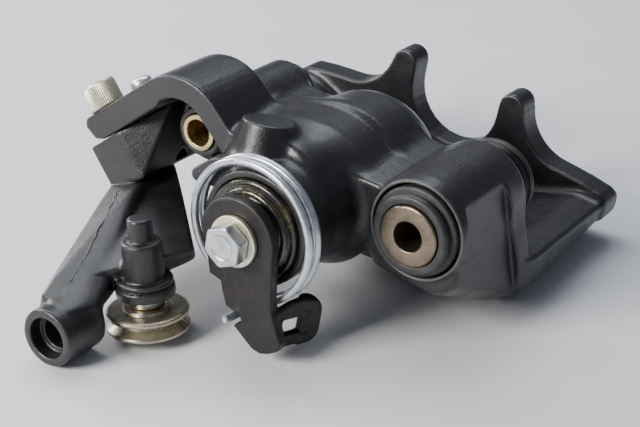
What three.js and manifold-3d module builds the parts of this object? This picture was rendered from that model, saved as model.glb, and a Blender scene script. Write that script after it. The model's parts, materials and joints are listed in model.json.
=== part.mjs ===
// Floating brake caliper with a parking-brake lever, a return spring and a bolted cable bracket.
// Units are millimetres. The caliper frame has its origin midway between the two guide sleeves, at the
// front face of the main one: X runs across the caliper, Y along the piston towards the outer leg, and
// Z along the two fingers. The finished group is tipped so that the caliper lies as it does on a bench.
import * as THREE from "three";
import { ConvexGeometry } from "three/addons/geometries/ConvexGeometry.js";
import { mergeVertices } from "three/addons/utils/BufferGeometryUtils.js";
import Module from "manifold-3d";

const wasm = await Module();
wasm.setup();

// ---------------------------------------------------------------- driving dimensions
const REST_ROLL = 8.5; // degrees about Y: the +X side goes down
const REST_PITCH = -3.5; // degrees about X: the outer leg goes down

const FIT = 0.3; // gap kept between pieces that touch or turn on each other
const ROUND = 28; // sides of the main round pieces
const INNER_ROUND = 20; // sides of the pieces inside the barrel
const SMALL_ROUND = 16; // sides of pins, screws and balls

const GUIDE_X = 44.6; // each guide sleeve's axis from the middle
const PISTON_Z = -9; // piston and lever axis, below the guide axes

const NECK_R = 20.3;
const NECK_FRONT = -22;
const BARREL_R = 25.8;
const COLLAR_R = 27.8;
const COLLAR_FRONT = 29;
const MOUTH_Y = 56;
const BORE_R = 18.3;
const BORE_FLOOR = 2;

const PISTON_R = 18;
const PISTON_BACK = 24;
const PISTON_FRONT = 57.5;
const PISTON_INNER_R = 13.5;

const LEG_FRONT = 107;
const LEG_BACK = 118;
const BRIDGE_HALF = 71;
const BRIDGE_FRONT = 38;

const MAIN_SLEEVE_R = 10.8;
const MAIN_SLEEVE_BORE_R = 5.25;
const MAIN_LUG_R = 18.4;
const MAIN_LUG_FRONT = 5.8;
const MAIN_LUG_BACK = 49;
const MAIN_SLEEVE_LENGTH = 64;
const SECOND_SLEEVE_R = 6.7;
const SECOND_SLEEVE_BORE_R = 4.8;
const SECOND_LUG_R = 12.3;
const SECOND_LUG_FRONT = 8;
const SECOND_SLEEVE_FRONT = 2.3;

const ARM_FRONT = -8;
const ARM_BACK = 21.5;
const ARM_CENTRE = [-46, 2.5]; // X, Z of the arch over the second sleeve
const ARM_OUTER_R = 21;
const ARM_INNER_R = 12.5;
const ARM_LEG_INNER_R = 11.4; // the straight leg is a little thicker than the arch
const ARM_THIN_END = 3; // where the leg has reached that thickness
const ARM_LEG = 37; // length of the straight leg past the arch
const CAP_SCREW = { y: -1, along: 30.8 }; // along: from the end of the arch down the leg
const DOME_SCREW = { y: 14, along: 25.5 };

const LEVER_FRONT = -32.5;
const LEVER_THICK = 4.5;
const SPRING_R = 24.2; // to the middle of the wire
const SPRING_WIRE_R = 1.4;

const PULLEY_LEAN = 14; // degrees from Z towards -X
const PULLEY_TOP = [-28.5, -37, -47]; // middle of the upper flange's top face
const PULLEY_R = 14.5;
const CABLE_BOSS = [-41.5, -50.5]; // X, Z of the cable boss axis
const CABLE_BOSS_FRONT = -73;
const CABLE_BOSS_BACK = -55;
const CABLE_BOSS_R = 10.25;

// ---------------------------------------------------------------- materials
const paint = (color, roughness, metalness) =>
  new THREE.MeshStandardMaterial({ color, roughness, metalness });
const BLACK_CASTING = paint(0x17181c, 0.45, 0.2);
const BLACK_STEEL = paint(0x1b1b1f, 0.5, 0.3);
const ZINC = paint(0xc9cdd0, 0.35, 0.9);
const YELLOW_ZINC = paint(0xc8bf9a, 0.4, 0.9);
const SLEEVE_STEEL = paint(0xa39c8c, 0.35, 0.9);
const BRIGHT_STEEL = paint(0xb8b8b4, 0.25, 1.0);
const RUBBER = paint(0x1f2022, 0.7, 0.0);
const GREASED_RUBBER = paint(0x5a5236, 0.25, 0.0);
const BRONZE = paint(0x9a7b45, 0.4, 0.9);

// ---------------------------------------------------------------- solids
// A closed geometry as a solid that can be joined and cut.
function solid(geometry) {
  const bare = geometry.clone();
  bare.deleteAttribute("normal");
  bare.deleteAttribute("uv");
  const merged = mergeVertices(bare, 1e-4);
  const index = merged.index.array;
  return new wasm.Manifold(
    new wasm.Mesh({
      numProp: 3,
      vertProperties: new Float32Array(merged.attributes.position.array),
      triVerts: new Uint32Array(index),
    }),
  );
}

// A solid back as a geometry, with flat shading.
function geometryOf(made) {
  const mesh = made.getMesh();
  const geometry = new THREE.BufferGeometry();
  const position = new THREE.BufferAttribute(new Float32Array(mesh.vertProperties), 3);
  geometry.setAttribute("position", position);
  geometry.setIndex(new THREE.BufferAttribute(new Uint32Array(mesh.triVerts), 1));
  return geometry;
}

const union = (solids) => solids.reduce((whole, piece) => whole.add(piece));
const cutAll = (whole, tools) => tools.reduce((left, tool) => left.subtract(tool), whole);

// A profile of [radius, y] points turned about the Y axis, then moved to x, z.
function turned(profile, x = 0, z = 0, sides = ROUND) {
  const area = profile.reduce((sum, [r, y], i) => {
    const [nextR, nextY] = profile[(i + 1) % profile.length];
    return sum + r * nextY - nextR * y;
  }, 0);
  const ordered = area > 0 ? [...profile] : [...profile].reverse();
  if (ordered.every(([r]) => r > 0)) {
    ordered.push(ordered[0]);
  } else {
    while (ordered[0][0] > 0 || ordered.at(-1)[0] > 0) ordered.push(ordered.shift());
  }
  const points = ordered.map(([r, y]) => new THREE.Vector2(r, y));
  return solid(new THREE.LatheGeometry(points, sides).translate(x, 0, z));
}

// A plain round bar along Y.
const bar = (radius, y0, y1, x = 0, z = 0, sides = ROUND) =>
  turned([[0, y0], [radius, y0], [radius, y1], [0, y1]], x, z, sides);

// A plain tube along Y.
const tube = (inner, outer, y0, y1, x = 0, z = 0, sides = ROUND) =>
  turned([[inner, y0], [outer, y0], [outer, y1], [inner, y1]], x, z, sides);

// An outline in X and Z, extruded from y0 to y1.
function plate(shape, y0, y1, curveSegments = 8) {
  const options = { depth: y1 - y0, bevelEnabled: false, curveSegments };
  const geometry = new THREE.ExtrudeGeometry(shape, options);
  return solid(geometry.rotateX(Math.PI / 2).translate(0, y1, 0));
}

const outline = (points) => new THREE.Shape(points.map(([x, z]) => new THREE.Vector2(x, z)));

function block(x0, x1, y0, y1, z0, z1) {
  const box = new THREE.BoxGeometry(x1 - x0, y1 - y0, z1 - z0);
  return solid(box.translate((x0 + x1) / 2, (y0 + y1) / 2, (z0 + z1) / 2));
}

const hull = (points) => solid(new ConvexGeometry(points.map((p) => new THREE.Vector3(...p))));

// Points of several sections, each a depth and an outline in X and Z.
const layers = (...sections) => sections.flatMap(([y, section]) => section.map(([x, z]) => [x, y, z]));

const radians = (degrees) => (degrees * Math.PI) / 180;

// Carries a solid made along Y at the origin to a place and a direction.
function aimed(made, place, direction) {
  const up = new THREE.Vector3(0, 1, 0);
  const turn = new THREE.Quaternion().setFromUnitVectors(up, direction.clone().normalize());
  const geometry = geometryOf(made).applyQuaternion(turn);
  return solid(geometry.translate(place.x, place.y, place.z));
}

// ---------------------------------------------------------------- derived places
const legDirection = new THREE.Vector3(-Math.SQRT1_2, 0, -Math.SQRT1_2);
const legNormal = new THREE.Vector3(-Math.SQRT1_2, 0, Math.SQRT1_2);
const archEnd = new THREE.Vector3(
  ARM_CENTRE[0] - ARM_OUTER_R * Math.SQRT1_2,
  0,
  ARM_CENTRE[1] + ARM_OUTER_R * Math.SQRT1_2,
);
const screwSeat = ({ y, along }) => archEnd.clone().addScaledVector(legDirection, along).setY(y);
const pulleyAxis = new THREE.Vector3(
  -Math.sin(radians(PULLEY_LEAN)),
  0,
  Math.cos(radians(PULLEY_LEAN)),
);
const pulleyTop = new THREE.Vector3(...PULLEY_TOP);
const sideways = new THREE.Vector3(-1, 0, -0.45); // the way the hose port and bleed screw point
const hosePlace = new THREE.Vector3(0, 14, PISTON_Z);
const bleedPlace = new THREE.Vector3(0, 30.5, PISTON_Z);

// ---------------------------------------------------------------- caliper body
function barrel() {
  return turned(
    [
      [0, NECK_FRONT],
      [NECK_R, NECK_FRONT],
      [NECK_R, -4],
      [22, 5],
      [BARREL_R, 14],
      [BARREL_R, COLLAR_FRONT],
      [COLLAR_R, COLLAR_FRONT + 2.5],
      [COLLAR_R - 0.3, MOUTH_Y - 7],
      [COLLAR_R - 1.2, MOUTH_Y - 3.5],
      [COLLAR_R - 3, MOUTH_Y],
      [0, MOUTH_Y],
    ],
    0,
    PISTON_Z,
    48,
  );
}

// Saddle over the disc: an arch whose underside rises towards the outer leg, hollowed along a wide arc.
function bridge() {
  const INNER_R = 142;
  const INNER_CENTRE = 112.2;
  const EDGE_TOP = -16.6;
  const STEPS = 12;
  const belly = (half, middle, side) => {
    const points = [[-half, EDGE_TOP], [half, EDGE_TOP]];
    for (let i = 0; i <= STEPS; i += 1) {
      const share = (2 * i) / STEPS - 1;
      points.push([half * share, middle + (side - middle) * share ** 2]);
    }
    return points;
  };
  const saddle = hull(
    layers(
      [BRIDGE_FRONT, belly(BRIDGE_HALF - 6, -41, -28.5)],
      [BRIDGE_FRONT + 10, belly(BRIDGE_HALF, -42, -29.5)],
      [LEG_BACK, belly(BRIDGE_HALF - 1, -41, -23)],
    ),
  );
  return saddle.subtract(bar(INNER_R, BRIDGE_FRONT - 1, LEG_BACK + 1, 0, INNER_CENTRE, 160));
}

function outerLeg() {
  const HALF = BRIDGE_HALF - 1;
  const TIP = { x: 24.3, z: 5, r: 5.2 };
  const ARC_END = -Math.PI + 0.15; // where the outer hollow meets the finger tip
  const shape = new THREE.Shape();
  shape.moveTo(-HALF, -22.5);
  shape.lineTo(-30, -38);
  shape.lineTo(30, -38);
  shape.lineTo(HALF, -22.5);
  shape.quadraticCurveTo(HALF, -15.5, 60, -12.6);
  shape.lineTo(49, -11.5);
  shape.absarc(49, 8, 19.5, -Math.PI / 2, ARC_END, true);
  shape.absarc(TIP.x, TIP.z, TIP.r, 0, Math.PI, false);
  shape.absarc(0, -1, 19, 0, -Math.PI, true);
  shape.absarc(-TIP.x, TIP.z, TIP.r, 0, Math.PI, false);
  shape.absarc(-49, 8, 19.5, -Math.PI - ARC_END, -Math.PI / 2, true);
  shape.lineTo(-60, -12.6);
  shape.quadraticCurveTo(-HALF, -15.5, -HALF, -22.5);
  return plate(shape, LEG_FRONT, LEG_BACK, 6);
}

function armBand() {
  const [x, z] = ARM_CENTRE;
  const LEFT = radians(135);
  const RIGHT = radians(52);
  const RIGHT_LEG = 20;
  const shape = new THREE.Shape();
  const along = (radius, angle, length, side) => [
    x + radius * Math.cos(angle) + side * length * Math.sin(angle),
    z + radius * Math.sin(angle) - side * length * Math.cos(angle),
  ];
  shape.moveTo(...along(ARM_OUTER_R, RIGHT, RIGHT_LEG, 1));
  shape.absarc(x, z, ARM_OUTER_R, RIGHT, LEFT, false);
  shape.lineTo(...along(ARM_OUTER_R, LEFT, ARM_LEG, -1));
  shape.lineTo(...along(ARM_OUTER_R - 2.5, LEFT, ARM_LEG + 2, -1));
  shape.lineTo(...along(ARM_LEG_INNER_R + 1.5, LEFT, ARM_LEG + 0.5, -1));
  shape.lineTo(...along(ARM_LEG_INNER_R, LEFT, ARM_LEG - 3, -1));
  shape.lineTo(...along(ARM_LEG_INNER_R, LEFT, ARM_THIN_END, -1));
  shape.absarc(x, z, ARM_INNER_R, LEFT, RIGHT, true);
  shape.lineTo(...along(ARM_INNER_R, RIGHT, RIGHT_LEG, 1));
  return plate(shape, ARM_FRONT, ARM_BACK, 8);
}

// Raised mass of metal above the neck, where the arm runs into the barrel, with a round cast stub on it.
function shoulder() {
  const front = [[-30, 4], [-24, 11], [-16, 15.5], [-8, 17.5], [-1, 17.5], [4, 15.5], [9, 11], [12, 4]];
  const back = [[-36, 4], [-32, 11], [-24, 15.5], [-12, 17], [0, 16.5], [8, 14], [12, 4]];
  const mass = hull(layers([-5, front], [34, back]));
  const STUB_TOP = 20.5;
  const stub = turned([[0, 2], [11.5, 2], [7.6, STUB_TOP], [0, STUB_TOP]], 0, 0, 24);
  return mass.add(stub.rotate([90, 0, 0]).translate([-12.4, -1.3, 0]));
}

// Small cast horn beside the spring.
function springHorn() {
  const face = [[-33, -3], [-31.5, -6.5], [-14, -4], [-15, 8], [-24, 6]];
  return hull(layers([-16.5, face], [-11, face]));
}

// Lug round the main sleeve, with the mass of metal that ties it to the barrel and to the bridge.
function mainLug() {
  const lug = turned(
    [
      [0, MAIN_LUG_FRONT],
      [MAIN_LUG_R - 0.7, MAIN_LUG_FRONT],
      [MAIN_LUG_R, MAIN_LUG_FRONT + 5],
      [MAIN_LUG_R, MAIN_LUG_BACK],
      [0, MAIN_LUG_BACK],
    ],
    GUIDE_X,
    0,
  );
  const webFront = [
    [15.8, 8.1], [26, 7.6], [44.6, 9], [57, 3], [61, -6], [62, -15], [56, -21], [31, -21], [18.8, -1.5],
  ];
  const webBack = [
    [4, 12], [40, 10.5], [62, 3], [67, -10], [70, -18], [70, -31], [66, -35], [56, -38], [20, -36], [0, -20],
  ];
  const web = hull(layers([8, webFront], [49, webBack]));
  const underFront = [[30, -21], [56, -21], [58, -12], [26, -10]];
  const underBack = [[18, -37.5], [60, -36], [66, -28], [18, -18]];
  const underside = hull(layers([10, underFront], [42, underBack]));
  return cutAll(union([lug, web, underside]), [sideFacet()]);
}

// Space outside the flat facet on the lug's outer side; the facet leans out towards the bottom.
function sideFacet() {
  const TOP = { x: 56.5, z: 18 };
  const BOTTOM = { x: 71, z: -42 };
  const FAR = 90;
  const FRONT = MAIN_LUG_FRONT + 6;
  const BACK = 36;
  const LEAN = 11; // how much further forward the bottom starts and further back it ends
  return hull([
    [TOP.x, FRONT, TOP.z], [FAR, FRONT, TOP.z], [TOP.x, BACK, TOP.z], [FAR, BACK, TOP.z],
    [BOTTOM.x, FRONT - LEAN, BOTTOM.z], [FAR, FRONT - LEAN, BOTTOM.z],
    [BOTTOM.x, BACK + LEAN, BOTTOM.z], [FAR, BACK + LEAN, BOTTOM.z],
  ]);
}

function secondLug() {
  const lug = bar(SECOND_LUG_R, SECOND_LUG_FRONT, MOUTH_Y, -GUIDE_X, 0);
  const web = block(-40, -14, 10, 54, -6, 8);
  return lug.add(web);
}

function sideBosses() {
  const hosePad = aimed(bar(8, 0, 36, 0, 0, 24), hosePlace, sideways);
  const bleedPad = aimed(bar(5.5, 0, 34, 0, 0, SMALL_ROUND), bleedPlace, sideways);
  return hosePad.add(bleedPad);
}

function bodyCuts() {
  const bore = turned(
    [
      [0, BORE_FLOOR],
      [BORE_R, BORE_FLOOR],
      [BORE_R, 20.3],
      [BORE_R + 1.6, 20.3],
      [BORE_R + 1.6, 22.4],
      [BORE_R, 22.4],
      [BORE_R, 44],
      [21.3, 44],
      [21.3, 48],
      [BORE_R, 48],
      [BORE_R, 51],
      [22, 51],
      [22, MOUTH_Y + 1],
      [0, MOUTH_Y + 1],
    ],
    0,
    PISTON_Z,
  );
  const shaftHole = bar(7.4, NECK_FRONT - 1, BORE_FLOOR + 1, 0, PISTON_Z, INNER_ROUND);
  const sealSeat = bar(18, NECK_FRONT - 1, NECK_FRONT + 4, 0, PISTON_Z);
  const mainBore = turned(
    [
      [0, MAIN_LUG_FRONT - 1],
      [16.9, MAIN_LUG_FRONT - 1],
      [16.9, 9],
      [15.8, 9],
      [15.8, 12],
      [MAIN_SLEEVE_R + FIT, 12],
      [MAIN_SLEEVE_R + FIT, 42],
      [13.6, 42],
      [13.6, MAIN_LUG_BACK + 1],
      [0, MAIN_LUG_BACK + 1],
    ],
    GUIDE_X,
    0,
  );
  const secondBore = turned(
    [
      [0, SECOND_LUG_FRONT - 1],
      [9.8, SECOND_LUG_FRONT - 1],
      [9.8, 14],
      [SECOND_SLEEVE_R + FIT, 14],
      [SECOND_SLEEVE_R + FIT, 50],
      [9.8, 50],
      [9.8, MOUTH_Y + 1],
      [0, MOUTH_Y + 1],
    ],
    -GUIDE_X,
    0,
    24,
  );
  const screwHoles = [CAP_SCREW, DOME_SCREW].map((screw) =>
    aimed(bar(3.4, -12, 4, 0, 0, SMALL_ROUND), screwSeat(screw), legNormal),
  );
  const hoseHole = aimed(bar(4.5, 10, 38, 0, 0, SMALL_ROUND), hosePlace, sideways);
  const bleedHole = aimed(bar(3.8, 10, 35, 0, 0, SMALL_ROUND), bleedPlace, sideways);
  return [
    bore, shaftHole, sealSeat, mainBore, secondBore, ...screwHoles, hoseHole, bleedHole,
  ];
}

function caliperBody() {
  const metal = union([
    barrel(),
    bridge(),
    outerLeg(),
    armBand(),
    shoulder(),
    springHorn(),
    mainLug(),
    secondLug(),
    sideBosses(),
  ]);
  return cutAll(metal, bodyCuts());
}

// ---------------------------------------------------------------- piston and its seals
function piston() {
  return turned(
    [
      [0, PISTON_FRONT - 6],
      [PISTON_INNER_R, PISTON_FRONT - 6],
      [PISTON_INNER_R, PISTON_BACK],
      [PISTON_R, PISTON_BACK],
      [PISTON_R, PISTON_FRONT],
      [PISTON_R - 5, PISTON_FRONT],
      [PISTON_R - 5, PISTON_FRONT - 1.5],
      [0, PISTON_FRONT - 1.5],
    ],
    0,
    PISTON_Z,
  );
}

const pistonSeal = () => tube(PISTON_R + FIT, 21, 44.3, 47.7, 0, PISTON_Z);
const pistonBoot = () => tube(PISTON_R + FIT, 21.7, 51.3, MOUTH_Y + 0.5, 0, PISTON_Z);

// ---------------------------------------------------------------- lever mechanism inside the barrel
const CAM_BACK = BORE_FLOOR + FIT;
const CAM_THICK = 3.6;
const BALL_R = 2.2;
const BALL_CIRCLE_R = 9;
const PUSH_PLATE_BACK = CAM_BACK + CAM_THICK + 2 * BALL_R + 2 * FIT;
const PUSH_PLATE_THICK = 3.6;
const CAGE_FRONT = 29;

function leverShaft() {
  const END = LEVER_FRONT + LEVER_THICK;
  return turned(
    [
      [0, END + FIT],
      [9, END + FIT],
      [9, NECK_FRONT - 0.5],
      [7, NECK_FRONT - 0.5],
      [7, BORE_FLOOR],
      [6, CAM_BACK],
      [6, CAM_BACK + CAM_THICK],
      [0, CAM_BACK + CAM_THICK],
    ],
    0,
    PISTON_Z,
    24,
  );
}

const camPlate = () => tube(6 + FIT, 14, CAM_BACK, CAM_BACK + CAM_THICK, 0, PISTON_Z, INNER_ROUND);

function rampBall(index) {
  const angle = (index * 2 * Math.PI) / 3 + Math.PI / 2;
  const ball = new THREE.SphereGeometry(BALL_R, 8, 6);
  ball.translate(
    BALL_CIRCLE_R * Math.cos(angle),
    CAM_BACK + CAM_THICK + FIT + BALL_R,
    PISTON_Z + BALL_CIRCLE_R * Math.sin(angle),
  );
  return solid(ball);
}

function pushrod() {
  const plateFront = PUSH_PLATE_BACK + PUSH_PLATE_THICK;
  return turned(
    [[0, PUSH_PLATE_BACK], [14, PUSH_PLATE_BACK], [14, plateFront], [5, plateFront], [5, 44], [0, 44]],
    0,
    PISTON_Z,
    24,
  );
}

const adjusterNut = () => tube(5 + FIT, 11, 32.5, 44, 0, PISTON_Z, INNER_ROUND);

function pushrodSpring() {
  const seat = PUSH_PLATE_BACK + PUSH_PLATE_THICK + FIT;
  return tube(9, 11.2, seat, CAGE_FRONT - 1.8, 0, PISTON_Z, INNER_ROUND);
}

// Cup that holds the inner spring against the barrel.
function springCage() {
  return turned(
    [
      [5.8, CAGE_FRONT - 1.5],
      [11.6, CAGE_FRONT - 1.5],
      [11.6, 19],
      [17.8, 19],
      [17.8, 20.2],
      [12.8, 20.2],
      [12.8, CAGE_FRONT],
      [5.8, CAGE_FRONT],
    ],
    0,
    PISTON_Z,
  );
}

const cageCirclip = () => tube(15, BORE_R + 1.2, 20.6, 22.1, 0, PISTON_Z);

// ---------------------------------------------------------------- lever, bolt, seal and spring outside
const shaftSeal = () =>
  turned(
    [
      [9 + FIT, NECK_FRONT - 3],
      [15, NECK_FRONT - 3],
      [17.7, NECK_FRONT - 0.5],
      [17.7, NECK_FRONT + 3.7],
      [9 + FIT, NECK_FRONT + 3.7],
    ],
    0,
    PISTON_Z,
  );

// The lever: a round hub, an arm that leans towards +X, and a bent-back tab with the cable slot.
function parkingLever() {
  const back = LEVER_FRONT + LEVER_THICK;
  const at = (x, z) => [x, PISTON_Z + z];
  const shape = new THREE.Shape();
  shape.moveTo(...at(14.6, -1));
  shape.lineTo(...at(16.5, -14.5));
  shape.lineTo(...at(17.8, -20.1));
  shape.lineTo(...at(23.2, -30.1));
  shape.quadraticCurveTo(...at(22.5, -33.5), ...at(19.5, -35.6));
  shape.quadraticCurveTo(...at(15.8, -38.2), ...at(12.5, -36.8));
  shape.lineTo(...at(3.6, -31.4));
  shape.absarc(4.2, PISTON_Z - 28.9, 2.5, -1.3, 1.9, false);
  shape.lineTo(...at(-0.2, -25.6));
  shape.lineTo(...at(-2.6, -20.5));
  shape.lineTo(...at(-3.6, -17.6));
  shape.lineTo(...at(-8.4, -16.8));
  shape.lineTo(...at(-10.2, -11));
  shape.lineTo(...at(-14.2, -2));
  shape.absarc(0, PISTON_Z, 14.6, Math.PI + 0.14, -0.07, true);
  const arm = plate(shape, LEVER_FRONT, back);

  const TAB_TURN = 70.7; // degrees from the lever's own plane
  const TAB_THICK = 3;
  const tabShape = new THREE.Shape();
  tabShape.moveTo(-3, -21.6);
  tabShape.lineTo(5, -18.6);
  tabShape.quadraticCurveTo(10, -17, 13.2, -20);
  tabShape.quadraticCurveTo(18, -24, 17.5, -31);
  tabShape.quadraticCurveTo(17, -36.2, 10, -36.2);
  tabShape.lineTo(3, -36.2);
  tabShape.lineTo(-3, -33);
  const tab = plate(tabShape, 0, TAB_THICK, 4);
  const slot = plate(outline([[1.8, -25], [9.5, -25], [9.5, -31.5], [1.8, -31.5]]), -1, TAB_THICK + 1);
  const bent = tab.subtract(slot).rotate([0, 0, TAB_TURN]).translate([19, back, PISTON_Z]);
  const boltHole = bar(4.3, LEVER_FRONT - 1, back + 1, 0, PISTON_Z, SMALL_ROUND);
  return arm.add(bent).subtract(boltHole);
}

function leverWasher() {
  return tube(4.3, 9, LEVER_FRONT - FIT - 1.8, LEVER_FRONT - FIT, 0, PISTON_Z, INNER_ROUND);
}

function leverBolt() {
  const seat = LEVER_FRONT - 2 * FIT - 1.8;
  const AF_TO_CORNER = 7.5;
  const head = turned(
    [[0, seat - 5.3], [AF_TO_CORNER, seat - 5.3], [AF_TO_CORNER, seat], [0, seat]],
    0,
    PISTON_Z,
    6,
  );
  return head.add(bar(4, seat - 0.1, LEVER_FRONT + LEVER_THICK, 0, PISTON_Z, SMALL_ROUND));
}

// Wire that starts in the lever's notch, runs straight to the circle and then winds round the neck.
class SpringPath extends THREE.Curve {
  getPoint(t, target = new THREE.Vector3()) {
    const TURNS = 1.66;
    const START = radians(-53);
    const FRONT_Y = -26.2;
    const PITCH = 4.6;
    const STRAIGHT = 13.2;
    const coilLength = TURNS * 2 * Math.PI * SPRING_R;
    const travelled = t * (STRAIGHT + coilLength) - STRAIGHT;
    const angle = START + Math.max(travelled, 0) / SPRING_R;
    const before = Math.min(travelled, 0);
    const y = FRONT_Y + (Math.max(travelled, 0) / coilLength) * TURNS * PITCH;
    return target.set(
      SPRING_R * Math.cos(angle) - before * Math.sin(angle),
      y,
      PISTON_Z + SPRING_R * Math.sin(angle) + before * Math.cos(angle),
    );
  }
}

function returnSpring() {
  const section = new THREE.Shape();
  section.absarc(0, 0, SPRING_WIRE_R, 0, 2 * Math.PI, false);
  const options = { steps: 60, bevelEnabled: false, curveSegments: 3, extrudePath: new SpringPath() };
  return solid(new THREE.ExtrudeGeometry(section, options));
}

// ---------------------------------------------------------------- guide sleeves and boots
const mainSleeve = () =>
  tube(MAIN_SLEEVE_BORE_R, MAIN_SLEEVE_R, 0, MAIN_SLEEVE_LENGTH, GUIDE_X, 0);

const secondSleeve = () =>
  tube(SECOND_SLEEVE_BORE_R, SECOND_SLEEVE_R, SECOND_SLEEVE_FRONT, 62, -GUIDE_X, 0, 24);

function boot(inner, lip, seat, front, seatFront, seatBack, x, sides) {
  return turned(
    [
      [inner, front],
      [lip, front],
      [lip, front + 3],
      [lip - 1.2, front + 4],
      [seat, seatFront],
      [seat, seatBack],
      [inner, seatBack],
    ],
    x,
    0,
    sides,
  );
}

const mainBootFront = () =>
  boot(MAIN_SLEEVE_R + FIT, 15.3, 15.5, 0.6, 6, 11.7, GUIDE_X, ROUND);
const secondBootFront = () =>
  boot(SECOND_SLEEVE_R + FIT, 9, 9.5, 3.2, 8.2, 13.7, -GUIDE_X, 24);

function rearBoot(inner, lip, seat, seatFront, back, x, sides) {
  return turned(
    [
      [inner, seatFront],
      [seat, seatFront],
      [seat, back - 5],
      [lip - 1.2, back - 4],
      [lip, back - 3],
      [lip, back],
      [inner, back],
    ],
    x,
    0,
    sides,
  );
}

const mainBootRear = () => rearBoot(MAIN_SLEEVE_R + FIT, 15.4, 13.3, 42.3, 61, GUIDE_X, ROUND);
const secondBootRear = () => rearBoot(SECOND_SLEEVE_R + FIT, 9, 9.5, 50.3, 61, -GUIDE_X, 24);

// ---------------------------------------------------------------- cable bracket
function cableBracket() {
  const padTop = archEnd
    .clone()
    .addScaledVector(legNormal, -(ARM_OUTER_R - ARM_LEG_INNER_R) - FIT);
  const beyond = (length, height) =>
    padTop.clone().addScaledVector(legDirection, length).addScaledVector(legNormal, height);
  const armSpace = outline(
    [[-10, 0], [60, 0], [60, 40], [-10, 40]].map(([length, height]) => {
      const p = beyond(length, height);
      return [p.x, p.z];
    }),
  );
  const padFront = [[-86, -16], [-73.5, -7], [-58.4, -21.4], [-72.4, -30], [-80, -20.5]];
  const padBack = [[-86, -16], [-59, 8], [-59, -22], [-72, -30], [-80, -20.5]];
  const pad = hull(layers([-8, padFront], [6, padBack], [30, padBack]));
  const rib = hull([
    [-72.4, -8, -29], [-59.5, -8, -23], [-60.5, 4, -24], [-73, 4, -28],
    [-51.4, -66, -41], [-38, -66, -41], [-34, -57, -41],
    [-51.4, -64, -55], [-36, -64, -57], [-33, -56, -52],
  ]);
  const web = hull([
    [-66, -8, -27], [-59, 12, -22], [-60, 12, -27], [-24, -20, -29], [-24, -18, -34],
    [-33, -22, -41], [-46, -52, -45], [-46, -52, -38], [-30, -34, -30], [-32, -34, -40],
  ]);
  const cableBoss = bar(CABLE_BOSS_R, CABLE_BOSS_FRONT, CABLE_BOSS_BACK, ...CABLE_BOSS);
  const pulleyBoss = aimed(
    turned([
      [0, 4.5], [10.3, 4.5], [10.3, 10.5], [7.6, 11.5], [7.6, 24], [4.3, 26], [4.3, 32.5], [0, 32.5],
    ]),
    pulleyTop,
    pulleyAxis,
  );
  const cableHole = turned(
    [
      [0, CABLE_BOSS_FRONT - 1],
      [7.2, CABLE_BOSS_FRONT - 1],
      [7.2, CABLE_BOSS_FRONT + 5],
      [5.3, CABLE_BOSS_FRONT + 5],
      [5.3, CABLE_BOSS_BACK + 22],
      [0, CABLE_BOSS_BACK + 22],
    ],
    ...CABLE_BOSS,
    24,
  );
  const pinHole = aimed(bar(4.3, 0, 24, 0, 0, SMALL_ROUND), pulleyTop, pulleyAxis);
  const pulleySpace = aimed(bar(PULLEY_R + 1.5, -11, 4.2, 0, 0, 24), pulleyTop, pulleyAxis);
  const screwHoles = [CAP_SCREW, DOME_SCREW].map((screw) =>
    aimed(bar(3.3, -26, -6, 0, 0, SMALL_ROUND), screwSeat(screw), legNormal),
  );
  const metal = union([pad.subtract(plate(armSpace, -30, 50)), rib, web, cableBoss, pulleyBoss]);
  return cutAll(metal, [cableHole, pinHole, pulleySpace, ...screwHoles]);
}

const SCREW_END = -23;
const SHANK_R = 3;

function capScrew() {
  const screw = turned(
    [
      [0, SCREW_END],
      [SHANK_R, SCREW_END],
      [SHANK_R, FIT],
      [6.4, FIT],
      [6.4, 8.9],
      [5.8, 9.7],
      [3.4, 9.7],
      [3.4, 5],
      [0, 5],
    ],
    0,
    0,
    24,
  );
  return aimed(screw, screwSeat(CAP_SCREW), legNormal);
}

function domeScrew() {
  const screw = turned(
    [
      [0, SCREW_END],
      [SHANK_R, SCREW_END],
      [SHANK_R, FIT],
      [4.6, FIT],
      [4.6, 3],
      [3.9, 4.4],
      [2.2, 5.1],
      [0, 5.2],
    ],
    0,
    0,
    INNER_ROUND,
  );
  return aimed(screw, screwSeat(DOME_SCREW), legNormal);
}

// The V-groove pulley, its bush, its pin and the clip that keeps it on.
function pulley() {
  const wheel = turned(
    [
      [6.3, 0.4],
      [8.2, 0.4],
      [8.2, -0.6],
      [PULLEY_R, -0.6],
      [PULLEY_R, -2],
      [10.8, -3.8],
      [10.8, -4.8],
      [PULLEY_R, -6.6],
      [PULLEY_R, -8],
      [6.3, -8],
    ],
    0,
    0,
    36,
  );
  return aimed(wheel, pulleyTop, pulleyAxis);
}

const pulleyBush = () => aimed(tube(4 + FIT, 6, -8, 0.4, 0, 0, 24), pulleyTop, pulleyAxis);

function pulleyPin() {
  const pin = turned(
    [
      [0, -9.3],
      [4, -9.3],
      [4, 0.8],
      [6, 0.8],
      [6, 4.2],
      [4, 4.2],
      [4, 23],
      [0, 23],
    ],
    0,
    0,
    24,
  );
  return aimed(pin, pulleyTop, pulleyAxis);
}

// ---------------------------------------------------------------- bleed screw
function bleedScrew() {
  const screw = turned(
    [[0, 22], [3.5, 22], [3.5, 34.3], [5.4, 34.3], [5.4, 38.5], [3, 39], [3, 45], [0, 45]],
    0,
    0,
    SMALL_ROUND,
  );
  return aimed(screw, bleedPlace, sideways);
}

function bleedCap() {
  const cap = turned(
    [[3.3, 39.4], [4.8, 39.4], [4.8, 46], [3, 47.5], [0, 47.5], [0, 45.4], [3.3, 45.4]],
    0,
    0,
    SMALL_ROUND,
  );
  return aimed(cap, bleedPlace, sideways);
}

// ---------------------------------------------------------------- assembly
const caliper = new THREE.Group();

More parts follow.
